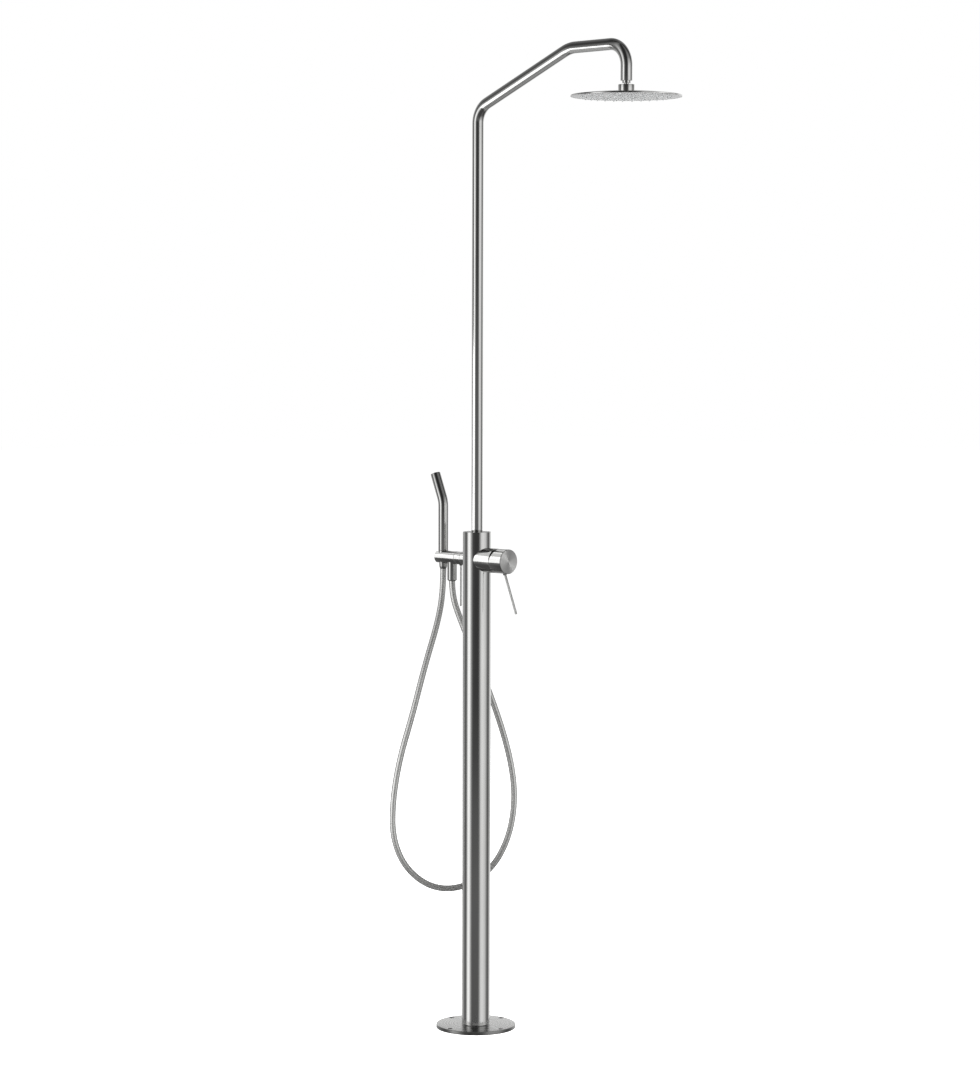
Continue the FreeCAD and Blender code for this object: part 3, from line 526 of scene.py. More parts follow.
def bent_line(corners: list[Vector], radii: list[float], step_deg: float = 3.0) -> list[Vector]:
    """Straight runs joined by arcs, as close points.

    Args:
        corners: the line's corners.
        radii: a bend radius for each inner corner.
        step_deg: turn between neighbouring points of a bend.

    Returns:
        The line's points in order.
    """
    runs = [(b - a).normalized() for a, b in zip(corners, corners[1:])]
    points = [corners[0].copy()]
    for corner, radius, come, go in zip(corners[1:-1], radii, runs, runs[1:]):
        turn = come.angle(go)
        axis = come.cross(go).normalized()
        inward = axis.cross(come).normalized()
        centre = corner - come * (radius * math.tan(turn / 2)) + inward * radius
        steps = max(2, round(math.degrees(turn) / step_deg))
        for step in range(steps + 1):
            spun = Matrix.Rotation(turn * step / steps, 3, axis) @ (-inward)
            points.append(centre + spun * radius)
    points.append(corners[-1].copy())
    return points


def rings_along(points: list[Vector], around: int) -> list[list[Vector]]:
    """Unit spokes for each point of a line, carried along without twist.

    Args:
        points: the line.
        around: spokes at each point.

    Returns:
        A list of spokes for each point.
    """
    tangents = [(after - before).normalized()
                for before, after in zip(points[:1] + points, points[1:] + points[-1:])]
    first = cross_frame(tangents[0])[0]
    rings = []
    for before, tangent in zip(tangents[:1] + tangents, tangents):
        if rings:
            first = (before.rotation_difference(tangent) @ first).normalized()
        first = (first - tangent * first.dot(tangent)).normalized()
        rings.append(spokes_round(first, tangent.cross(first).normalized(), around))
    return rings


def sweep(name: str, stations: list[tuple[Vector, float]], spokes: list[list[Vector]],
          finish: Finish, travelled: float = 0.0) -> Piece:
    """Solid round bar whose radius may change along a line, closed at both ends.

    Args:
        name: the piece's name.
        stations: a point and a radius for each ring.
        spokes: the unit spokes of each ring.
        finish: its surface.
        travelled: length along the pattern at the first ring.

    Returns:
        The swept piece.
    """
    rings = [[place + spoke * radius for spoke in ring]
             for (place, radius), ring in zip(stations, spokes)]
    (first, first_radius), (last, last_radius) = stations[0], stations[-1]
    steps = [(b[0] - a[0]).length for a, b in zip(stations, stations[1:])]
    lengths = running([first_radius, *steps, last_radius], travelled - first_radius)
    return skin(name, [[first], *rings, [last]], lengths, finish)


def open_tube(name: str, line: list[Vector], outer: float, inner: float, edge: float,
              finish: Finish, around: int = Facets.PIPE) -> Piece:
    """Tube along a line with rounded end edges and a bore.

    Args:
        name: the piece's name.
        line: its centre line.
        outer: outer radius.
        inner: bore radius.
        edge: rounding of the outer end edges.
        finish: its surface.
        around: facets round the tube.

    Returns:
        The tube.
    """
    spokes = rings_along(line, around)
    turns = [math.pi / 2 * step / FILLET_STEPS for step in range(FILLET_STEPS + 1)]
    start, end = (
        [(place + (inner_place - place).normalized() * edge * (1 - math.cos(turn)), ring,
          outer - edge + edge * math.sin(turn)) for turn in turns]
        for place, inner_place, ring in ((line[0], line[1], spokes[0]),
                                         (line[-1], line[-2], spokes[-1])))
    rows = [*start, *[(place, ring, outer) for place, ring in zip(line[1:-1], spokes[1:-1])],
            *reversed(end), *[(place, ring, inner) for place, ring in zip(line, spokes)][::-1]]
    lengths = running(max((b[0] - a[0]).length, abs(b[2] - a[2]))
                      for a, b in zip(rows, rows[1:] + rows[:1]))
    return skin(name, [[place + spoke * radius for spoke in ring] for place, ring, radius in rows],
                lengths, finish, closed=True)


def cut(piece: Piece, *tools: Piece) -> Piece:
    """Cut tools out of a piece with exact booleans and delete the tools.

    Args:
        piece: the piece.
        tools: what is cut out of it, in order.

    Returns:
        The same piece.
    """
    for tool in tools:
        modifier = piece.modifiers.new("cut", "BOOLEAN")
        modifier.operation = "DIFFERENCE"
        modifier.solver = "EXACT"
        modifier.object = tool
        apply_modifiers(piece)
        bpy.data.objects.remove(tool)
    smooth(piece.data)
    return piece


def tool_rod(radius: float, base: Vector, axis: Vector, length: float,
             around: int = Facets.MIDDLE) -> Piece:
    """Plain cylinder to cut with."""
    return lathe("cutter", barrel(0, radius, 0, length), base, axis, SATIN, around)


def tool_box(low: Vector, high: Vector) -> Piece:
    """Plain box to cut with.

    Args:
        low: its lowest corner.
        high: its highest corner.

    Returns:
        The box.
    """
    verts = [Vector((x, y, z)) for x in (low.x, high.x) for y in (low.y, high.y)
             for z in (low.z, high.z)]
    faces = [(0, 1, 3, 2), (4, 6, 7, 5), (0, 4, 5, 1), (2, 3, 7, 6), (0, 2, 6, 4), (1, 5, 7, 3)]
    return finish_mesh("cutter", verts, faces, [[(0.0, 0.0)] * 4 for _ in faces], SATIN)


def paint_faces(piece: Piece, finish: Finish,
                chosen: Callable[[bpy.types.MeshPolygon], bool]) -> None:
    """Give a piece's chosen faces a second finish.

    Args:
        piece: the piece.
        finish: the second finish.
        chosen: says whether a face gets it.
    """
    piece.data.materials.append(finish.material())
    for face in filter(chosen, piece.data.polygons):
        face.material_index = 1


def saddle(piece: Piece, column_radius: float, height: float, reach: float) -> Piece:
    """Cut the column out of a level barrel's foot, so far up and down from its height."""
    return cut(piece, tool_rod(column_radius, Vector((0, 0, height - reach)), UP, 2 * reach,
                               Facets.WIDE))


def dress(piece: Piece, body: str, node: str = "") -> None:
    """Fit a finished piece to the frame and report it.

    Args:
        piece: the finished piece.
        body: the CAD body that it rides on.
        node: the CAD node that it stands for, if there is one.
    """
    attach(piece, body)
    if node:
        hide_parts(node)
    LOG.info("%s rides on %s, %d faces", piece.name, body, len(piece.data.polygons))


# ---- geometry-node patterns

class RingField:
    """Geometry Nodes tree: one small turned tooth at a centre and six more on each next ring."""

    FACETS = 14                      # facets round a tooth
    COLLAR_SHARES = (1.35, 1.1)      # the collar's low and high radius by the root's
    COLLAR_HEIGHT = 0.12             # the collar's height by the tooth's length

    def __init__(self, name: str) -> None:
        """Build the tree: a tooth, the places by formula, the instances and the material.

        Args:
            name: the tree's name.
        """
        self.tree, self.given, result = new_group(
            name, "GeometryNodeTree",
            {"Rings": "Int", "Pitch": "Float", "Root Radius": "Float", "Tip Radius": "Float",
             "Length": "Float", "Material": "Material"}, {"Geometry": "Geometry"})
        count, place = self.places()
        points = add_node(self.tree, "GeometryNodePoints", {"Count": count, "Position": place})
        spread = add_node(self.tree, "GeometryNodeInstanceOnPoints", {
            "Points": points.outputs[0], "Instance": self.tooth()})
        real = add_node(self.tree, "GeometryNodeRealizeInstances", {0: spread.outputs[0]})
        paint = add_node(self.tree, "GeometryNodeSetMaterial", {
            0: real.outputs[0], "Material": self.given["Material"]})
        feed(self.tree, result, {0: paint.outputs[0]})

    def maths(self, kind: str, *values: float | Socket) -> Socket:
        """Output of a new Math node of the tree."""
        return math_node(self.tree, kind, *values)

    def places(self) -> tuple[Socket, Socket]:
        """Number of teeth and the place of each: ring r holds 3r(r - 1) + 1 to 3r(r + 1).

        Returns:
            The number and the place.
        """
        maths = self.maths
        rings = self.given["Rings"]
        count = maths("MULTIPLY_ADD", maths("MULTIPLY", rings, maths("ADD", rings, 1.0)), 3.0, 1.0)
        index = add_node(self.tree, "GeometryNodeInputIndex").outputs[0]
        # solving that for r gives the ring of a tooth, with 0.0001 against rounding down
        root = maths("SQRT", maths("MAXIMUM", maths("MULTIPLY_ADD", index, 12.0, -3.0), 0.0))
        which = maths("FLOOR", maths("DIVIDE", maths("ADD", root, 3.0001), 6.0))
        ring = maths("MULTIPLY", which, maths("GREATER_THAN", index, 0.5))
        before = maths("MULTIPLY_ADD", maths("MULTIPLY", ring, maths("SUBTRACT", ring, 1.0)),
                       3.0, 1.0)
        share = maths("DIVIDE", maths("SUBTRACT", index, before),
                      maths("MAXIMUM", maths("MULTIPLY", ring, 6.0), 1.0))
        angle = maths("MULTIPLY", share, 2 * math.pi)
        radius = maths("MULTIPLY", ring, self.given["Pitch"])
        spot = add_node(self.tree, "ShaderNodeCombineXYZ", {
            "X": maths("MULTIPLY", radius, maths("COSINE", angle)),
            "Y": maths("MULTIPLY", radius, maths("SINE", angle))})
        return count, spot.outputs[0]

    def tooth(self) -> Socket:
        """One tooth pointing down: a tapered tip in a low collar.

        Returns:
            The tooth's geometry.
        """
        root, length = self.given["Root Radius"], self.given["Length"]
        wide, narrow = (self.maths("MULTIPLY", root, share) for share in self.COLLAR_SHARES)
        low = self.maths("MULTIPLY", length, self.COLLAR_HEIGHT)
        both = add_node(self.tree, "GeometryNodeJoinGeometry")
        for segments, bottom, top, depth in ((2, root, self.given["Tip Radius"], length),
                                             (1, wide, narrow, low)):
            cone = add_node(self.tree, "GeometryNodeMeshCone", {
                "Vertices": self.FACETS, "Side Segments": segments, "Radius Bottom": bottom,
                "Radius Top": top, "Depth": depth}, fill_type="TRIANGLE_FAN")
            feed(self.tree, both, {0: cone.outputs[0]})
        return add_node(self.tree, "GeometryNodeTransform", {
            0: both.outputs[0], "Rotation": (math.pi, 0.0, 0.0)}).outputs[0]

    def make(self, name: str, sizes: dict[str, float], finish: Finish, place: Matrix) -> Piece:
        """Run the tree with given sizes.

        Args:
            name: the piece's name.
            sizes: a value for each named input.
            finish: the teeth's surface.
            place: matrix from the field's plane to the part's frame.

        Returns:
            A plain mesh object.
        """
        holder = add_object(name, bpy.data.meshes.new(name))
        modifier = holder.modifiers.new("field", "NODES")
        modifier.node_group = self.tree
        values = {**sizes, "Material": finish.material()}
        for socket in self.tree.interface.items_tree:
            if socket.name in values:
                modifier[socket.identifier] = values[socket.name]
        apply_modifiers(holder)
        holder.data.transform(place)
        smooth(holder.data)
        return holder


# ---- column and base

@dataclass
class Column:
    """Floor flange, column wall and its top cap."""

    radius: float = 0.032
    wall: float = 0.002
    top: float = 1.126
    band: float = 0.3
    weld: float = 0.0012
    flange_radius: float = 0.090
    flange_thick: float = 0.008
    anchor_circle: float = 0.080
    anchor_radius: float = 0.0035
    anchor_sink: float = 0.0060
    anchor_count: int = 4
    rim_depth: float = 0.0005
    rim_slope: float = 0.6
    pipe_radius: float = 0.0127
    cap_gap: float = 0.00025
    cap_thick: float = 0.010

    def build(self) -> None:
        """Make and dress the base, the wall and the cap."""
        self.flange()
        self.tube()
        self.cap()

    def flange(self) -> None:
        """Disc with a rounded rim and four countersunk holes."""
        outer, top = self.flange_radius, self.flange_thick
        disc = lathe("floor_flange", [
            Corner(0, 0), Corner(outer, 0, round=0.0004), Corner(outer, top, round=0.0012),
            Corner(self.radius - self.wall - CLEAR, top), Corner(0, top)],
            ORIGIN, UP, SATIN, Facets.WIDE)
        turns = [2 * math.pi * index / self.anchor_count for index in range(self.anchor_count)]
        cut(disc, *[self.sunk_hole(Vector((self.anchor_circle * math.cos(turn),
                                           self.anchor_circle * math.sin(turn), -CLEAR)))
                    for turn in turns])
        paint_faces(disc, CUT_EDGE, lambda face: (
            face.center.xy.length > outer - self.rim_depth
            and abs(face.normal.z) < self.rim_slope))
        dress(disc, "root", "base_flange")

    def sunk_hole(self, foot: Vector) -> Piece:
        """Cutter for one countersunk hole.

        Args:
            foot: where the hole's axis starts.

        Returns:
            The cutter.
        """
        narrow, wide = self.anchor_radius, self.anchor_sink
        top = self.flange_thick + CLEAR
        return lathe("cutter", [
            Corner(0, 0), Corner(narrow, 0), Corner(narrow, top - (wide - narrow)),
            Corner(wide, top), Corner(wide, top + CLEAR), Corner(0, top + CLEAR)],
            foot, UP, SATIN, Facets.PIN)

    def tube(self) -> None:
        """Column wall with a small weld fillet at its foot and a rounded top edge."""
        inner = self.radius - self.wall
        low = self.flange_thick
        dress(lathe("column_wall", [
            Corner(inner, low), Corner(self.radius + self.weld, low),
            Corner(self.radius, low + self.weld, round=0.0009),
            Corner(self.radius, low + self.band), Corner(self.radius, self.top, round=0.0005),
            Corner(inner, self.top)],
            ORIGIN, UP, POLISHED, Facets.WIDE, closed=True), "root", "column_tube")

    def cap(self) -> None:
        """Flat cap set in the column's top, open round the riser."""
        corners = barrel(self.pipe_radius + self.cap_gap, self.radius - self.wall - self.cap_gap,
                         self.top - self.cap_thick, self.top, high_edge=0.0005, mouth=0.0004)
        dress(lathe("column_cap_disc", corners, ORIGIN, UP, SATIN, closed=True),
              "root", "column_cap")


# ---- riser and arm

@dataclass
class RiserArm:
    """The bent pipe from the column's top to the overhead head."""

    radius: float = 0.0127
    wall: float = 0.0015
    edge: float = 0.0005
    start: float = 1.088
    corner: float = 2.068
    slope_deg: float = 22.3
    top: float = 2.185
    reach: float = 0.454
    end: float = 2.105
    bends: Triple = (0.048, 0.090, 0.048)

    def build(self) -> None:
        """Make and dress the pipe."""
        run = (self.top - self.corner) / math.tan(math.radians(self.slope_deg))
        corners = [Vector((0, y, z)) for y, z in (
            (0, self.start), (0, self.corner), (-run, self.top), (-self.reach, self.top),
            (-self.reach, self.end))]
        dress(open_tube("riser_pipe", bent_line(corners, list(self.bends)), self.radius,
                        self.radius - self.wall, self.edge, POLISHED), "root", "riser_arm")


# ---- overhead head

@dataclass
class OverheadHead:
    """Ball stem, swivel nut, thin domed shell, spray plate and silicone nozzles."""

    teeth: RingField
    reach: float = 0.454
    pipe_end: float = 2.105
    ball: float = 2.089
    ball_radius: float = 0.0095
    ball_steps: int = 16
    neck_radius: float = 0.005
    neck_top: float = -0.005
    nipple_radius: float = 0.009
    plug_radius: float = 0.0111
    plug_top: float = 0.012
    nut_radius: float = 0.0175
    nut_top: float = 2.097
    nut_low: float = 2.0832
    nut_hole: float = 0.010
    mouth: float = 0.0076
    mouth_deep: float = 0.0022
    thread: float = 0.0137
    thread_deep: float = 0.0068
    radius: float = 0.1185
    rim_top: float = 2.0746
    rim_height: float = 0.0032
    sheet: float = 0.001
    flat_radius: float = 0.019
    bulge: float = 0.4
    dome_steps: int = 24
    bore: float = 0.0136
    plate_band: float = 0.06
    plate_inset: float = 0.0002
    plate_gap: float = 0.0001
    plate_thick: float = 0.001
    rings: int = 5
    pitch: float = 0.019
    nozzle_root: float = 0.0019
    nozzle_tip: float = 0.0012
    nozzle_length: float = 0.0042

    def at(self, height: float) -> Vector:
        """Point on the head's vertical axis."""
        return Vector((0, -self.reach, height))

    def build(self) -> None:
        """Make and dress every piece of the head."""
        self.stem()
        self.nut()
        self.shell()
        self.plate()
        self.nozzles()

    def stem(self) -> None:
        """Nipple, neck and ball under the pipe's end."""
        ball, middle = self.ball_radius, self.ball - self.pipe_end
        ball_top = math.sqrt(ball ** 2 - self.neck_radius ** 2)
        start = math.atan2(self.neck_radius, ball_top)
        turns = [start + (math.pi - start) * step / self.ball_steps
                 for step in range(1, self.ball_steps)]
        outline = [
            Corner(0, self.plug_top), Corner(self.plug_radius, self.plug_top),
            Corner(self.plug_radius, 0), Corner(self.nipple_radius, 0),
            Corner(self.nipple_radius, self.neck_top, round=0.0006),
            Corner(self.neck_radius, self.neck_top), Corner(self.neck_radius, middle + ball_top),
            *[Corner(ball * math.sin(turn), middle + ball * math.cos(turn)) for turn in turns],
            Corner(0, middle - ball)]
        dress(lathe("ball_and_nipple", outline, self.at(self.pipe_end), UP, POLISHED,
                    Facets.SMALL), "root", "ball_stem")

    def nut(self) -> None:
        """Round nut with soft edges and a coned mouth for the neck."""
        dress(lathe("swivel_collar", [
            Corner(self.thread, self.nut_low), Corner(self.nut_radius, self.nut_low, round=0.0008),
            Corner(self.nut_radius, self.nut_top, round=0.0010),
            Corner(self.nut_hole, self.nut_top, round=0.0003),
            Corner(self.mouth, self.nut_top - self.mouth_deep),
            Corner(self.thread, self.nut_top - self.thread_deep)],
            self.at(0.0), UP, POLISHED, closed=True), "head", "swivel_nut")

    def dome(self, offset: float) -> list[Corner]:
        """Points of the dome's curve from the rim to its flat middle.

        Args:
            offset: how far the curve lies inside the sheet's outer face.

        Returns:
            The points.
        """
        outer = self.radius - offset
        rise = self.nut_low - self.rim_top
        shares = [step / self.dome_steps for step in range(self.dome_steps + 1)]
        return [Corner(outer + (self.flat_radius - outer) * t,
                       self.rim_top - offset + rise * (t + self.bulge * t * (1 - t)))
                for t in shares]

    def shell(self) -> None:
        """Thin sheet: turned rim, low dome and flat middle."""
        low = self.rim_top - self.rim_height
        outline = [
            Corner(self.radius - self.sheet, low), Corner(self.radius, low, round=0.0003),
            Corner(self.radius, self.rim_top, round=0.0020), *self.dome(0.0)[1:],
            Corner(self.bore, self.nut_low), Corner(self.bore, self.nut_low - self.sheet),
            *reversed(self.dome(self.sheet))]
        dress(lathe("head_dome", outline, self.at(0.0), UP, POLISHED, Facets.HEAD, closed=True),
              "head", "head_shell")

    def plate_low(self) -> float:
        """Height of the spray plate's lower face."""
        return self.rim_top - self.rim_height + self.plate_inset

    def plate(self) -> None:
        """Flat spray plate just inside the rim."""
        low = self.plate_low()
        high = low + self.plate_thick
        outer = self.radius - self.sheet - self.plate_gap
        dress(lathe("spray_face_plate", [
            Corner(0, low), Corner(self.plate_band, low), Corner(outer, low, round=0.0003),
            Corner(outer, high), Corner(0, high)],
            self.at(0.0), UP, SPRAY_STEEL, Facets.HEAD), "head", "spray_plate")

    def nozzles(self) -> None:
        """Silicone teeth in rings under the plate."""
        dress(self.teeth.make("rain_nozzles", {
            "Rings": self.rings, "Pitch": self.pitch, "Root Radius": self.nozzle_root,
            "Tip Radius": self.nozzle_tip, "Length": self.nozzle_length}, SILICONE,
            Matrix.Translation(self.at(self.plate_low()))), "head", "nozzle_mat")


# ---- mixer

@dataclass
class Mixer:
    """Saddled sleeve, tilting cap with its turned face, and the pin lever."""

    height: float = 1.0635
    radius: float = 0.0275
    wall: float = 0.003
    start: float = 0.012
    column_radius: float = 0.032
    saddle_reach: float = 0.06
    pivot: float = 0.065
    front: float = 0.102
    face_thick: float = 0.006
    face_bands: Triple = (0.6, 0.2, 0.0)
    chamfer: float = 0.0008
    tilt_deg: float = 18.0
    lever_root: float = 0.090
    lever_deg: float = 22.5
    lever_radius: float = 0.0028
    lever_length: float = 0.095
    lever_sink: float = 0.001
    collar_radius: float = 0.0046
    collar_out: float = 0.0024
    collar_sink: float = 0.0012
    collar_gap: float = 0.0001
    recess_length: float = 0.02

    def on_axis(self, y: float) -> Vector:
        """Point on the mixer's axis."""
        return Vector((0, y, self.height))

    def build(self) -> None:
        """Make and dress the sleeve, cap and lever."""
        self.sleeve()
        self.cap()
        self.lever()

    def sleeve(self) -> None:
        """Sleeve whose back edge follows the column's wall."""
        corners = barrel(self.radius - self.wall, self.radius, self.start, self.pivot - SEAM,
                         high_edge=0.0004)
        piece = lathe("mixer_sleeve_wall", corners, self.on_axis(0.0), FRONT, POLISHED,
                      Facets.WIDE, closed=True)
        dress(saddle(piece, self.column_radius, self.height, self.saddle_reach), "root",
              "mixer_sleeve")

    def cap(self) -> None:
        """Hollow cap with a wedge cut away above its pivot."""
        inner, outer = self.radius - self.wall, self.radius
        back, front = self.pivot + SEAM, self.front
        piece = lathe("mixer_cap_turned", [
            Corner(0, front - self.face_thick), Corner(inner, front - self.face_thick, round=0.001),
            Corner(inner, back), Corner(outer, back, round=0.0004),
            Corner(outer, front - self.chamfer), Corner(outer - self.chamfer, front),
            *[Corner(outer * share, front) for share in self.face_bands]],
            self.on_axis(0.0), FRONT, POLISHED, Facets.WIDE)
        reach = self.saddle_reach
        wedge = tool_box(Vector((-reach, -back, self.height)),
                         Vector((reach, 0.0, self.height + reach)))
        pivot = self.on_axis(-self.pivot)
        turn = Matrix.Rotation(math.radians(self.tilt_deg), 4, "X")
        wedge.data.transform(Matrix.Translation(pivot) @ turn @ Matrix.Translation(-pivot))
        root, along = self.lever_axis()
        recess = tool_rod(self.collar_radius + self.collar_gap, root - along * self.collar_sink,
                          along, self.recess_length, Facets.SMALL)
        cut(piece, wedge, recess)
        paint_faces(piece, TURNED, lambda face: face.center.y < SEAM - front)
        dress(piece, "mixer_handle", "mixer_cap")

    def lever_axis(self) -> tuple[Vector, Vector]:
        """Root and direction of the lever.

        Returns:
            The root and the unit direction.
        """
        angle = math.radians(self.lever_deg)
        root = Vector((0, -self.lever_root, self.height - self.radius))
        return root, Vector((0, -math.sin(angle), -math.cos(angle)))

    def lever(self) -> None:
        """Thin pin with a rounded tip and a small dark collar at its root."""
        pin = barrel(0, self.lever_radius, -self.lever_sink, self.lever_length, high_edge=0.0016)
        dress(lathe("lever_rod", pin, *self.lever_axis(), BRUSHED, Facets.SMALL),
              "mixer_handle", "lever_pin")
        collar = barrel(self.lever_radius, self.collar_radius, -self.collar_sink,
                        self.collar_out, high_edge=0.0008, mouth=0.0003)
        dress(lathe("lever_ring", collar, *self.lever_axis(), DARK_RING, Facets.SMALL,
                    closed=True), "mixer_handle", "lever_collar")


# ---- diverter, bar, outlet

@dataclass
class HolderBar:
    """Socket, diverter ring with its pin, holder bar, hose outlet."""

    height: float = 1.0635
    radius: float = 0.0147
    spine: float = 0.00905
    column_radius: float = 0.032
    saddle_reach: float = 0.03
    start: float = 0.015
    socket_end: float = 0.043
    ring_end: float = 0.062
    end: float = 0.1255
    pin_y: float = 0.0525
    pin_radius: float = 0.0021
    pin_length: float = 0.094
    pin_sink: float = 0.001
    collar_radius: float = 0.0036
    collar_out: float = 0.0018
    collar_sink: float = 0.0015
    outlet_y: float = 0.081
    outlet_radius: float = 0.0111
    outlet_end: float = 1.0106
    outlet_chamfer: float = 0.0024
    handset_y: float = 0.1105
    cone_low: float = 0.0092
    cone_low_z: float = 1.042
    cone_top: float = 0.0115
    cone_top_z: float = 1.078
    cone_gap: float = 0.00008
    slot: float = 0.015

    def on_axis(self, y: float) -> Vector:
        """Point on the bar's axis."""
        return Vector((0, y, self.height))

    def build(self) -> None:
        """Make and dress every piece behind the column."""
        self.socket()
        self.ring()
        self.pin()
        self.bar()
        self.outlet()

    def socket(self) -> None:
        """Fixed stub, saddled to the column."""
        corners = barrel(self.spine, self.radius, self.start, self.socket_end, high_edge=0.0004)
        piece = lathe("bar_stub", corners, self.on_axis(0.0), BACK, POLISHED, closed=True)
        dress(saddle(piece, self.column_radius, self.height, self.saddle_reach), "root",
              "bar_socket")

    def ring(self) -> None:
        """Diverter ring between two fine seams."""
        corners = barrel(self.spine, self.radius, self.socket_end + SEAM, self.ring_end,
                         low_edge=0.0007, high_edge=0.0007)
        dress(lathe("diverter_sleeve", corners, self.on_axis(0.0), BACK, POLISHED, closed=True),
              "diverter", "diverter_ring")

    def pin(self) -> None:
        """Diverter pin and its dark collar."""
        root = Vector((0, self.pin_y, self.height - self.radius))
        rod = barrel(0, self.pin_radius, -self.pin_sink, self.pin_length, high_edge=0.0012)
        dress(lathe("diverter_rod", rod, root, -UP, BRUSHED, Facets.PIN),
              "diverter", "diverter_pin")
        collar = barrel(self.pin_radius, self.collar_radius, -self.collar_sink, self.collar_out,
                        high_edge=0.0006)
        dress(lathe("diverter_rod_ring", collar, root, -UP, DARK_RING, Facets.PIN, closed=True),
              "diverter", "diverter_collar")

    def bar(self) -> None:
        """Bar end with the coned holder and its slot."""
        corners = barrel(0, self.radius, self.ring_end + SEAM, self.end, low_edge=0.0004,
                         high_edge=0.0010)
        piece = lathe("holder_bar_turned", corners, self.on_axis(0.0), BACK, POLISHED)
        slope = (self.cone_top - self.cone_low) / (self.cone_top_z - self.cone_low_z)
        low, high = (self.height + side * (self.radius + CLEAR) for side in (-1, 1))
        wide = [Corner(self.cone_low + slope * (z - self.cone_low_z) + self.cone_gap, z)
                for z in (low, high)]
        cone = lathe("cutter", [Corner(0, low), *wide, Corner(0, high)],
                     Vector((0, self.handset_y, 0)), UP, SATIN)
        slot = tool_box(Vector((-self.slot / 2, self.handset_y, low)),
                        Vector((self.slot / 2, self.end + CLEAR, high)))
        dress(cut(piece, cone, slot), "root", "holder_bar")

    def outlet(self) -> None:
        """Long round nut under the bar, saddled to it and chamfered below."""
        low, outer, chamfer = self.outlet_end, self.outlet_radius, self.outlet_chamfer
        piece = lathe("outlet_sleeve", [
            Corner(0, low), Corner(outer - chamfer, low, round=0.0003),
            Corner(outer, low + chamfer, round=0.0003), Corner(outer, self.height),
            Corner(0, self.height)], Vector((0, self.outlet_y, 0)), UP, POLISHED)
        bar = tool_rod(self.radius, self.on_axis(self.ring_end), BACK, 2 * self.saddle_reach)
        dress(cut(piece, bar), "root", "outlet_nut")


# ---- hand shower

@dataclass
class HandShower:
    """Plain stick with a leaning tip, its spray face and the coned hose nut."""

    teeth: RingField
    y: float = 0.1105
    radius: float = 0.0115
    wall: float = 0.0014
    edge: float = 0.0004
    cone_low: float = 0.0092
    cone_low_z: float = 1.042
    cone_top_z: float = 1.078
    nose_radius: float = 0.0072
    nose_z: float = 1.0365
    bend_z: float = 1.1896
    tilt_deg: float = 23.0
    tip_length: float = 0.0678
    bend_radius: float = 0.055
    recess: float = 0.0005
    face_thick: float = 0.005
    face_gap: float = 0.0001
    jet_rings: int = 2
    jet_pitch: float = 0.0035
    jet_root: float = 0.0009
    jet_tip: float = 0.0006
    jet_length: float = 0.0012

    def build(self) -> None:
        """Make and dress the nut, the stick and its face."""
        self.nut()
        self.stick()
        self.face()

    def nut(self) -> None:
        """Coned nut that rests in the holder."""
        dress(lathe("hose_cone", [
            Corner(0, self.nose_z), Corner(self.nose_radius, self.nose_z, round=0.0003),
            Corner(self.cone_low, self.cone_low_z, round=0.0012),
            Corner(self.radius, self.cone_top_z, round=0.0004), Corner(0, self.cone_top_z)],
            Vector((0, self.y, 0)), UP, POLISHED), "hose_end", "handset_nut")

    def line(self) -> tuple[list[Vector], Vector]:
        """Foot, bend and tip of the stick, and the tip's direction.

        Returns:
            The three points and the direction.
        """
        tilt = math.radians(self.tilt_deg)
        along = Vector((0, math.sin(tilt), math.cos(tilt)))
        foot, bend = (Vector((0, self.y, z)) for z in (self.cone_top_z + SEAM, self.bend_z))
        return [foot, bend, bend + along * self.tip_length], along

    def stick(self) -> None:
        """Bent tube of the hand shower."""
        line = bent_line(self.line()[0], [self.bend_radius], step_deg=2.0)
        dress(open_tube("hand_shower_stick", line, self.radius, self.radius - self.wall,
                        self.edge, POLISHED), "hand_shower", "handset_tube")

    def face(self) -> None:
        """Round spray face with its jets."""
        (*_, tip), along = self.line()
        disc = barrel(0, self.radius - self.wall - self.face_gap, 0, self.face_thick,
                      high_edge=0.0005)
        seat = tip - along * (self.recess + self.face_thick)
        dress(lathe("hand_spray_disc", disc, seat, along, SPRAY_FACE, Facets.SMALL),
              "hand_shower", "spray_insert")
        turn = (-UP).rotation_difference(along).to_matrix().to_4x4()
        dress(self.teeth.make("hand_spray_jets", {
            "Rings": self.jet_rings, "Pitch": self.jet_pitch, "Root Radius": self.jet_root,
            "Tip Radius": self.jet_tip, "Length": self.jet_length}, SILICONE,
            Matrix.Translation(tip - along * self.recess) @ turn), "hand_shower")


# ---- hose

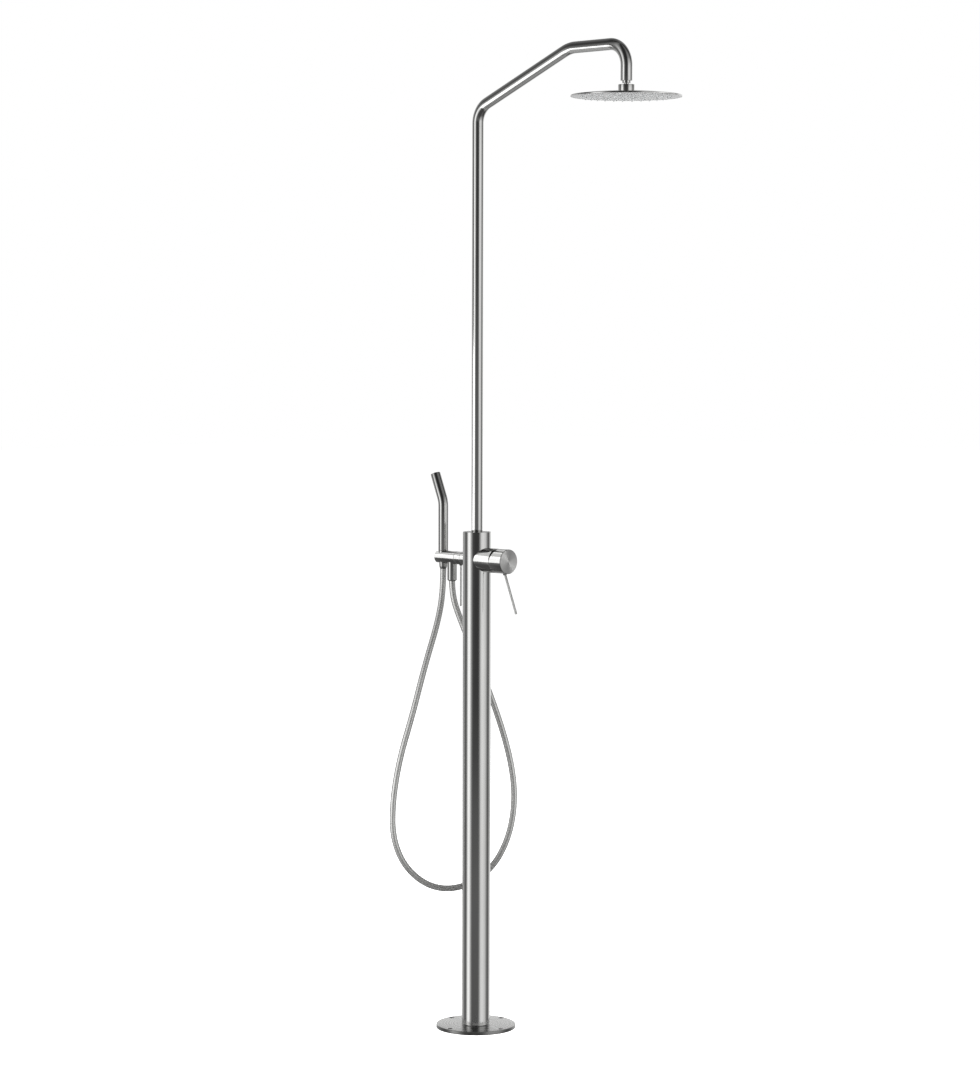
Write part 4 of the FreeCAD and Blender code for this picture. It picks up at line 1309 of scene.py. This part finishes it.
@dataclass
class Hose:
    """Silver hose: one free loop from the outlet to the hand shower's cone.

    The loop is one hose in two skins that meet in a groove at its lowest point: the
    outlet's side stays put on the root, and the hand shower's side is a loose piece in the scene.
    """

    radius: float = 0.0072
    start: Triple = (0.0, 0.081, 1.0106)
    end: Triple = (0.0, 0.1105, 1.0365)
    ridge_pitch: float = 0.0042
    ridge_depth: float = 0.00010
    per_ridge: int = 4
    around: int = 20
    stretch_above: float = 0.04
    stretch_below: float = 0.10
    resolution: int = 24
    route: tuple[Triple, ...] = (
        (0.000, 0.081, 0.980), (0.014, 0.071, 0.925), (0.073, 0.019, 0.733),
        (0.102, -0.008, 0.602), (0.109, -0.015, 0.506), (0.098, -0.004, 0.418),
        (0.070, 0.023, 0.348), (0.022, 0.069, 0.305), (-0.028, 0.118, 0.305),
        (-0.071, 0.159, 0.350), (-0.092, 0.180, 0.420), (-0.092, 0.180, 0.505),
        (-0.081, 0.169, 0.602), (-0.059, 0.148, 0.707), (-0.038, 0.131, 0.815),
        (-0.011, 0.115, 0.918), (0.000, 0.1105, 0.988))

    def build(self) -> None:
        line = self.centre_line()
        length = sum((b - a).length for a, b in zip(line, line[1:]))
        stations = self.stations(line, length)
        lowest = min(range(0, len(stations), self.per_ridge), key=lambda at: stations[at][0].z)
        spokes = rings_along([place for place, _ in stations], self.around)
        share = lowest / (len(stations) - 1)
        fixed = sweep("hose_outlet_side", stations[:lowest + 1], spokes[:lowest + 1], HOSE_SKIN)
        moving = sweep("hose_hand_side", stations[lowest:], spokes[lowest:], HOSE_SKIN,
                       share * length)
        dress(fixed, "root", "shower_hose")
        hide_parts("shower_hose")
        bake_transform(moving)
        self.declare(stations[:lowest + 1])
        self.declare(stations[lowest:])
        LOG.info("the hose is %.3f m long, lowest at z %.3f", length, stations[lowest][0].z)

    def declare(self, stations: list[tuple[Vector, float]]) -> None:
        """List one side's centre points; nothing more is done with the list.

        Args:
            stations: its centres and radii.
        """
        line = [tuple(place) for place, _ in stations]
        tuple(line[0])

    def centre_line(self) -> list[Vector]:
        """Points read from the route's smooth spline.

        Returns:
            The points in order.
        """
        curve = bpy.data.curves.new("hose_line", "CURVE")
        curve.dimensions = "3D"
        curve.resolution_u = self.resolution
        spline = curve.splines.new("NURBS")
        points = [self.start, *self.route, self.end]
        spline.points.add(len(points) - 1)
        for target, point in zip(spline.points, points):
            target.co = (*point, 1.0)
        spline.order_u = 3
        spline.use_endpoint_u = True
        holder = add_object("hose_line", curve)
        mesh = applied_mesh(holder)
        line = [vertex.co.copy() for vertex in mesh.vertices]
        bpy.data.meshes.remove(mesh)
        bpy.data.objects.remove(holder)
        return line

    def stations(self, line: list[Vector], length: float) -> list[tuple[Vector, float]]:
        """Centres and radii of the hose's rings: fine ridges, plain at both ends.

        Args:
            line: the centre line's points.
            length: its length.

        Returns:
            A centre and a radius for each ring.
        """
        count = round(length / self.ridge_pitch) * self.per_ridge
        plain_ends = 2 * self.per_ridge
        stations = []
        for index, place in enumerate(evenly(line, count)):
            phase = 2 * math.pi * index / self.per_ridge
            plain = index < plain_ends or index > count - plain_ends
            ridge = 0.0 if plain else self.ridge_depth * (0.5 + 0.5 * math.cos(phase))
            stations.append((place, self.radius - ridge))
        return stations


def evenly(line: list[Vector], count: int) -> list[Vector]:
    """Evenly spaced points on a line.

    Args:
        line: close points.
        count: number of steps to divide it into.

    Returns:
        The count + 1 points.
    """
    reached = running((b - a).length for a, b in zip(line, line[1:]))
    places = []
    segment = 0
    for step in range(count + 1):
        want = reached[-1] * step / count
        while segment < len(line) - 2 and reached[segment + 1] < want:
            segment += 1
        span = reached[segment + 1] - reached[segment]
        share = (want - reached[segment]) / span if span else 0.0
        places.append(line[segment].lerp(line[segment + 1], min(max(share, 0.0), 1.0)))
    return places


# ---- inner pieces

INNER_FINISHES = {
    RUBBER: ("riser_seal", "spine_seals", "outlet_washer", "handset_washer", "head_gasket"),
    COPPER: ("hot_supply_pipe", "cold_supply_pipe"),
    BRASS: ("valve_block", "cartridge_housing", "bar_spine", "outlet_nipple", "outlet_insert",
            "handset_insert", "handset_coupler", "cartridge_stem"),
    PLASTIC: ("cartridge", "cartridge_carrier", "ball_seat"),
    INNER_STEEL: ("cartridge_nut", "pivot_pin", "head_hub"),
}


def paint_inner_nodes() -> None:
    """Give each carried-over node its own finish."""
    for finish, names in INNER_FINISHES.items():
        material = finish.material()
        for name in names:
            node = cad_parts[name]
            if not node.material_slots:
                node.data.materials.append(material)
            for slot in node.material_slots:
                slot.material = material
            LOG.info("%s is finished in %s", name, finish.name)


# ---- studio

@dataclass(frozen=True)
class Softbox:
    """A flat soft light: place, width and height, radiance, where it aims and what it lights."""

    name: str
    place: Triple
    size: tuple[float, float]
    radiance: float
    aim: Triple = (0.0, 0.0, 1.0)
    lit: tuple[str, ...] = ()


# brightness of the studio by heading in degrees from the camera, growing to its right
BANDS = ((-180, 0.48), (-156, 0.44), (-136, 0.40), (-118, 0.24), (-104, 0.10), (-93, 0.08),
         (-84, 0.30), (-72, 0.92), (-60, 0.96), (-50, 0.50), (-42, 0.20), (-30, 0.05),
         (-10, 0.035), (14, 0.035), (24, 0.22), (36, 0.62), (50, 0.70), (64, 0.62), (76, 0.52),
         (88, 0.26), (102, 0.08), (112, 0.10), (126, 0.40), (142, 0.72), (164, 0.66), (180, 0.48))
# and by height in degrees over the horizon
FALLOFF = ((-90, 0.10), (-45, 0.14), (-24, 0.55), (-12, 0.92), (2, 1.0), (10, 0.80), (18, 0.60),
           (34, 0.30), (60, 0.16), (90, 0.12))
# least brightness by height, so that low steel mirrors some of the floor's haze
HAZE = ((-90, 0.04), (-30, 0.05), (-16, 0.10), (-13, 0.106), (-8, 0.085), (-3, 0.040),
        (2, 0.02), (90, 0.02))

# pieces that share a light, and the points that the lights aim at
LEVEL = ("mixer_sleeve_wall", "mixer_cap_turned", "holder_bar_turned", "bar_stub",
         "diverter_sleeve")
ARM = ("riser_pipe",)
LEVERS = ("lever_rod", "diverter_rod")
HOSES = ("hose_outlet_side", "hose_hand_side")
AT_BARS, AT_HEAD = (0.0, 0.0, 1.06), (0.0, -0.454, 2.07)
AT_SLOPE, AT_RUN = (0.0, -0.15, 2.12), (0.0, -0.35, 2.185)
TOP_BOX = Softbox("soft_top", (-1.0, -1.0, 5.0), (6.0, 6.0), 4.8)
SOFTBOXES = (
    Softbox("hose_box", (-1.65, 0.14, 0.48), (2.1, 0.95), 0.60, (0.0, 0.0, 0.6), HOSES),
    Softbox("left_box", (-1.00, 1.00, 1.34), (1.0, 1.05), 1.35, (0.0, 0.0, 1.34), LEVEL),
    Softbox("back_box", (-0.50, 1.10, 2.00), (1.2, 1.2), 0.75, (0.0, 0.0, 1.0), LEVEL),
    Softbox("high_back_box", (0.45, 1.40, 2.30), (1.3, 1.0), 0.55, AT_BARS, LEVEL),
    Softbox("face_box", (0.20, -3.00, 1.06), (1.4, 1.4), 0.5, AT_BARS, LEVEL),
    Softbox("face_turned_box", (1.4, -2.52, 1.52), (0.7, 0.7), 2.2, AT_BARS,
            ("mixer_cap_turned",)),
    Softbox("plate_box", (2.10, 1.70, 1.80), (2.6, 1.6), 0.84, AT_HEAD, ("spray_face_plate",)),
    Softbox("rim_box", (0.95, -1.35, 2.75), (1.4, 1.2), 0.9, AT_HEAD, ("head_dome",)),
    Softbox("lever_box", (-1.90, -1.40, 1.30), (1.2, 1.2), 1.1, (0.0, -0.1, 1.0), LEVERS),
    Softbox("slope_box", (-1.44, 0.82, 0.77), (0.8, 1.5), 1.6, AT_SLOPE, ARM),
    Softbox("level_box", (-2.27, 2.55, 0.63), (1.1, 1.4), 1.6, AT_RUN, ARM),
    Softbox("level_low_box", (-0.21, 0.98, 0.80), (2.0, 0.6), 0.45, AT_RUN, ARM),
    Softbox("slope_low_box", (0.15, 0.25, 0.55), (1.4, 0.9), 0.30, AT_SLOPE, ARM),
    *[Softbox(f"base_box_{number}", (across, along, 0.75), (3.4, 1.4), 0.26, (0.0, 0.0, 0.0),
              ("floor_flange",))
      for number, (across, along) in enumerate(((2.10, 2.15), (-2.15, 2.10), (-2.10, -2.15),
                                                (2.15, -2.10)), 1)],
)


@dataclass
class Studio:
    """Camera, pale floor, soft light and the bright and dark sides that steel reflects."""

    lens: float = 102.32
    view_end: float = 200.0
    camera_place: Triple = (-4.7647, -4.9644, 1.561)
    camera_azimuth: float = -43.82
    pitch_deg: float = 3.773
    yaw_deg: float = 0.243
    roll_deg: float = 0.150
    band_strength: float = 1.55
    floor_size: float = 60.0
    floor_grey: float = 0.93
    floor_rough: float = 0.9
    floor_glow: float = 0.88

    def build(self) -> None:
        """Set up the whole studio once the pieces are there."""
        self.camera()
        self.floor()
        self.world()
        self.softbox(TOP_BOX).visible_glossy = False
        for box in SOFTBOXES:
            self.softbox(box)
        bpy.context.scene.view_settings.view_transform = "Standard"

    def camera(self) -> None:
        """Camera at the photograph's angle."""
        data = bpy.data.cameras.new("camera")
        data.lens = self.lens
        data.clip_end = self.view_end
        camera = add_object("camera", data)
        place = Vector(self.camera_place)
        level = Matrix.Rotation(-math.radians(self.yaw_deg), 3, "Z") @ Vector(
            (-place.x, -place.y, 0.0)).normalized()
        pitch = math.radians(self.pitch_deg)
        look = level * math.cos(pitch) - UP * math.sin(pitch)
        turn = look.to_track_quat("-Z", "Y").to_matrix()
        roll = Matrix.Rotation(-math.radians(self.roll_deg), 3, look)
        camera.matrix_world = Matrix.Translation(place) @ (roll @ turn).to_4x4()
        bpy.context.scene.camera = camera

    def floor(self) -> None:
        """Pale floor that glossy rays pass by."""
        half = self.floor_size / 2
        mesh = bpy.data.meshes.new("studio_floor")
        mesh.from_pydata([(-half, -half, 0), (half, -half, 0), (half, half, 0), (-half, half, 0)],
                         [], [(0, 1, 2, 3)])
        floor = add_object("studio_floor", mesh)
        material = bpy.data.materials.new("pale_floor")
        material.use_nodes = True
        tree = material.node_tree
        feed(tree, tree.nodes["Principled BSDF"], {
            "Base Color": (*[self.floor_grey] * 3, 1.0), "Roughness": self.floor_rough,
            "Specular IOR Level": 0.0, "Emission Color": (1.0, 1.0, 1.0, 1.0),
            "Emission Strength": self.floor_glow})
        mesh.materials.append(material)
        floor.visible_glossy = False

    def world(self) -> None:
        """White to the camera; bands by heading and height to everything else."""
        world = bpy.data.worlds.new("studio")
        bpy.context.scene.world = world
        world.use_nodes = True
        tree = world.node_tree
        tree.nodes.clear()
        where = add_node(tree, "ShaderNodeTexCoord").outputs["Generated"]
        x, y, z = add_node(tree, "ShaderNodeSeparateXYZ", {0: where}).outputs
        height = self.turn_share(tree, math_node(tree, "ARCSINE", z), math.pi)
        bands, falloff, haze = (
            self.ramp(tree, source, stops, turn) for source, stops, turn in (
                (self.heading(tree, x, y), BANDS, 360.0), (height, FALLOFF, 180.0),
                (height, HAZE, 180.0)))
        level = math_node(tree, "MAXIMUM", math_node(tree, "MULTIPLY", bands, falloff), haze)
        shown = add_node(tree, "ShaderNodeBackground", {
            "Strength": self.band_strength, "Color": level})
        white = add_node(tree, "ShaderNodeBackground", {"Color": (1.0, 1.0, 1.0, 1.0)})
        path = add_node(tree, "ShaderNodeLightPath").outputs["Is Camera Ray"]
        mix = add_node(tree, "ShaderNodeMixShader", {
            0: path, 1: shown.outputs[0], 2: white.outputs[0]})
        add_node(tree, "ShaderNodeOutputWorld", {0: mix.outputs[0]})

    def heading(self, tree: Tree, x: Socket, y: Socket) -> Socket:
        """Heading of a direction, 0.5 towards the photograph's camera, growing to its right.

        Args:
            tree: the world's tree.
            x: the direction's x.
            y: the direction's y.

        Returns:
            The heading as a share of a turn.
        """
        azimuth = math.radians(self.camera_azimuth)
        cosine, sine = math.cos(azimuth), math.sin(azimuth)
        across, towards = (
            math_node(tree, "ADD", math_node(tree, "MULTIPLY", x, a),
                      math_node(tree, "MULTIPLY", y, b))
            for a, b in ((cosine, sine), (sine, -cosine)))
        return self.turn_share(tree, math_node(tree, "ARCTAN2", across, towards), 2 * math.pi)

    @staticmethod
    def turn_share(tree: Tree, angle: Socket, turn: float) -> Socket:
        """An angle as a share of the whole range, 0.5 at zero."""
        return math_node(tree, "ADD", math_node(tree, "DIVIDE", angle, turn), 0.5)

    @staticmethod
    def ramp(tree: Tree, source: Socket, stops: tuple[tuple[float, float], ...],
             turn: float) -> Socket:
        """Grey ramp over an angle.

        Args:
            tree: the world's tree.
            source: the angle as a share of the turn, 0.5 at zero.
            stops: degrees and brightness, in order.
            turn: the whole range in degrees.

        Returns:
            The brightness.
        """
        node = add_node(tree, "ShaderNodeValToRGB", {0: source})
        node.color_ramp.interpolation = "EASE"
        elements = node.color_ramp.elements
        while len(elements) > 1:
            elements.remove(elements[-1])
        for index, (degrees, value) in enumerate(stops):
            position = degrees / turn + 0.5
            element = elements[0] if index == 0 else elements.new(position)
            element.position = position
            element.color = (value, value, value, 1.0)
        return node.outputs[0]

    @staticmethod
    def softbox(box: Softbox) -> Piece:
        """Area light, which lights only the pieces that its box names, if it names any.

        Args:
            box: what to make.

        Returns:
            The light.
        """
        data = bpy.data.lights.new(box.name, "AREA")
        data.shape = "RECTANGLE"
        data.size, data.size_y = box.size
        data.energy = box.radiance * math.pi * box.size[0] * box.size[1]
        lamp = add_object(box.name, data)
        lamp.location = box.place
        aim = Vector(box.aim) - Vector(box.place)
        lamp.rotation_euler = aim.to_track_quat("-Z", "Y").to_euler()
        lamp.visible_camera = False
        if box.lit:
            receivers = bpy.data.collections.new(box.name + "_lit")
            for name in box.lit:
                receivers.objects.link(bpy.data.objects[name])
            lamp.light_linking.receiver_collection = receivers
        return lamp


# ---- main


def main() -> None:
    """Build every sub-assembly in order."""
    logging.basicConfig(level=logging.INFO, format="%(message)s")
    Hose().build()
    teeth = RingField("ring_field")
    for assembly in (Column(), RiserArm(), OverheadHead(teeth), Mixer(), HolderBar(),
                     HandShower(teeth)):
        assembly.build()
    paint_inner_nodes()
    Studio().build()


if __name__ == "__main__":
    main()
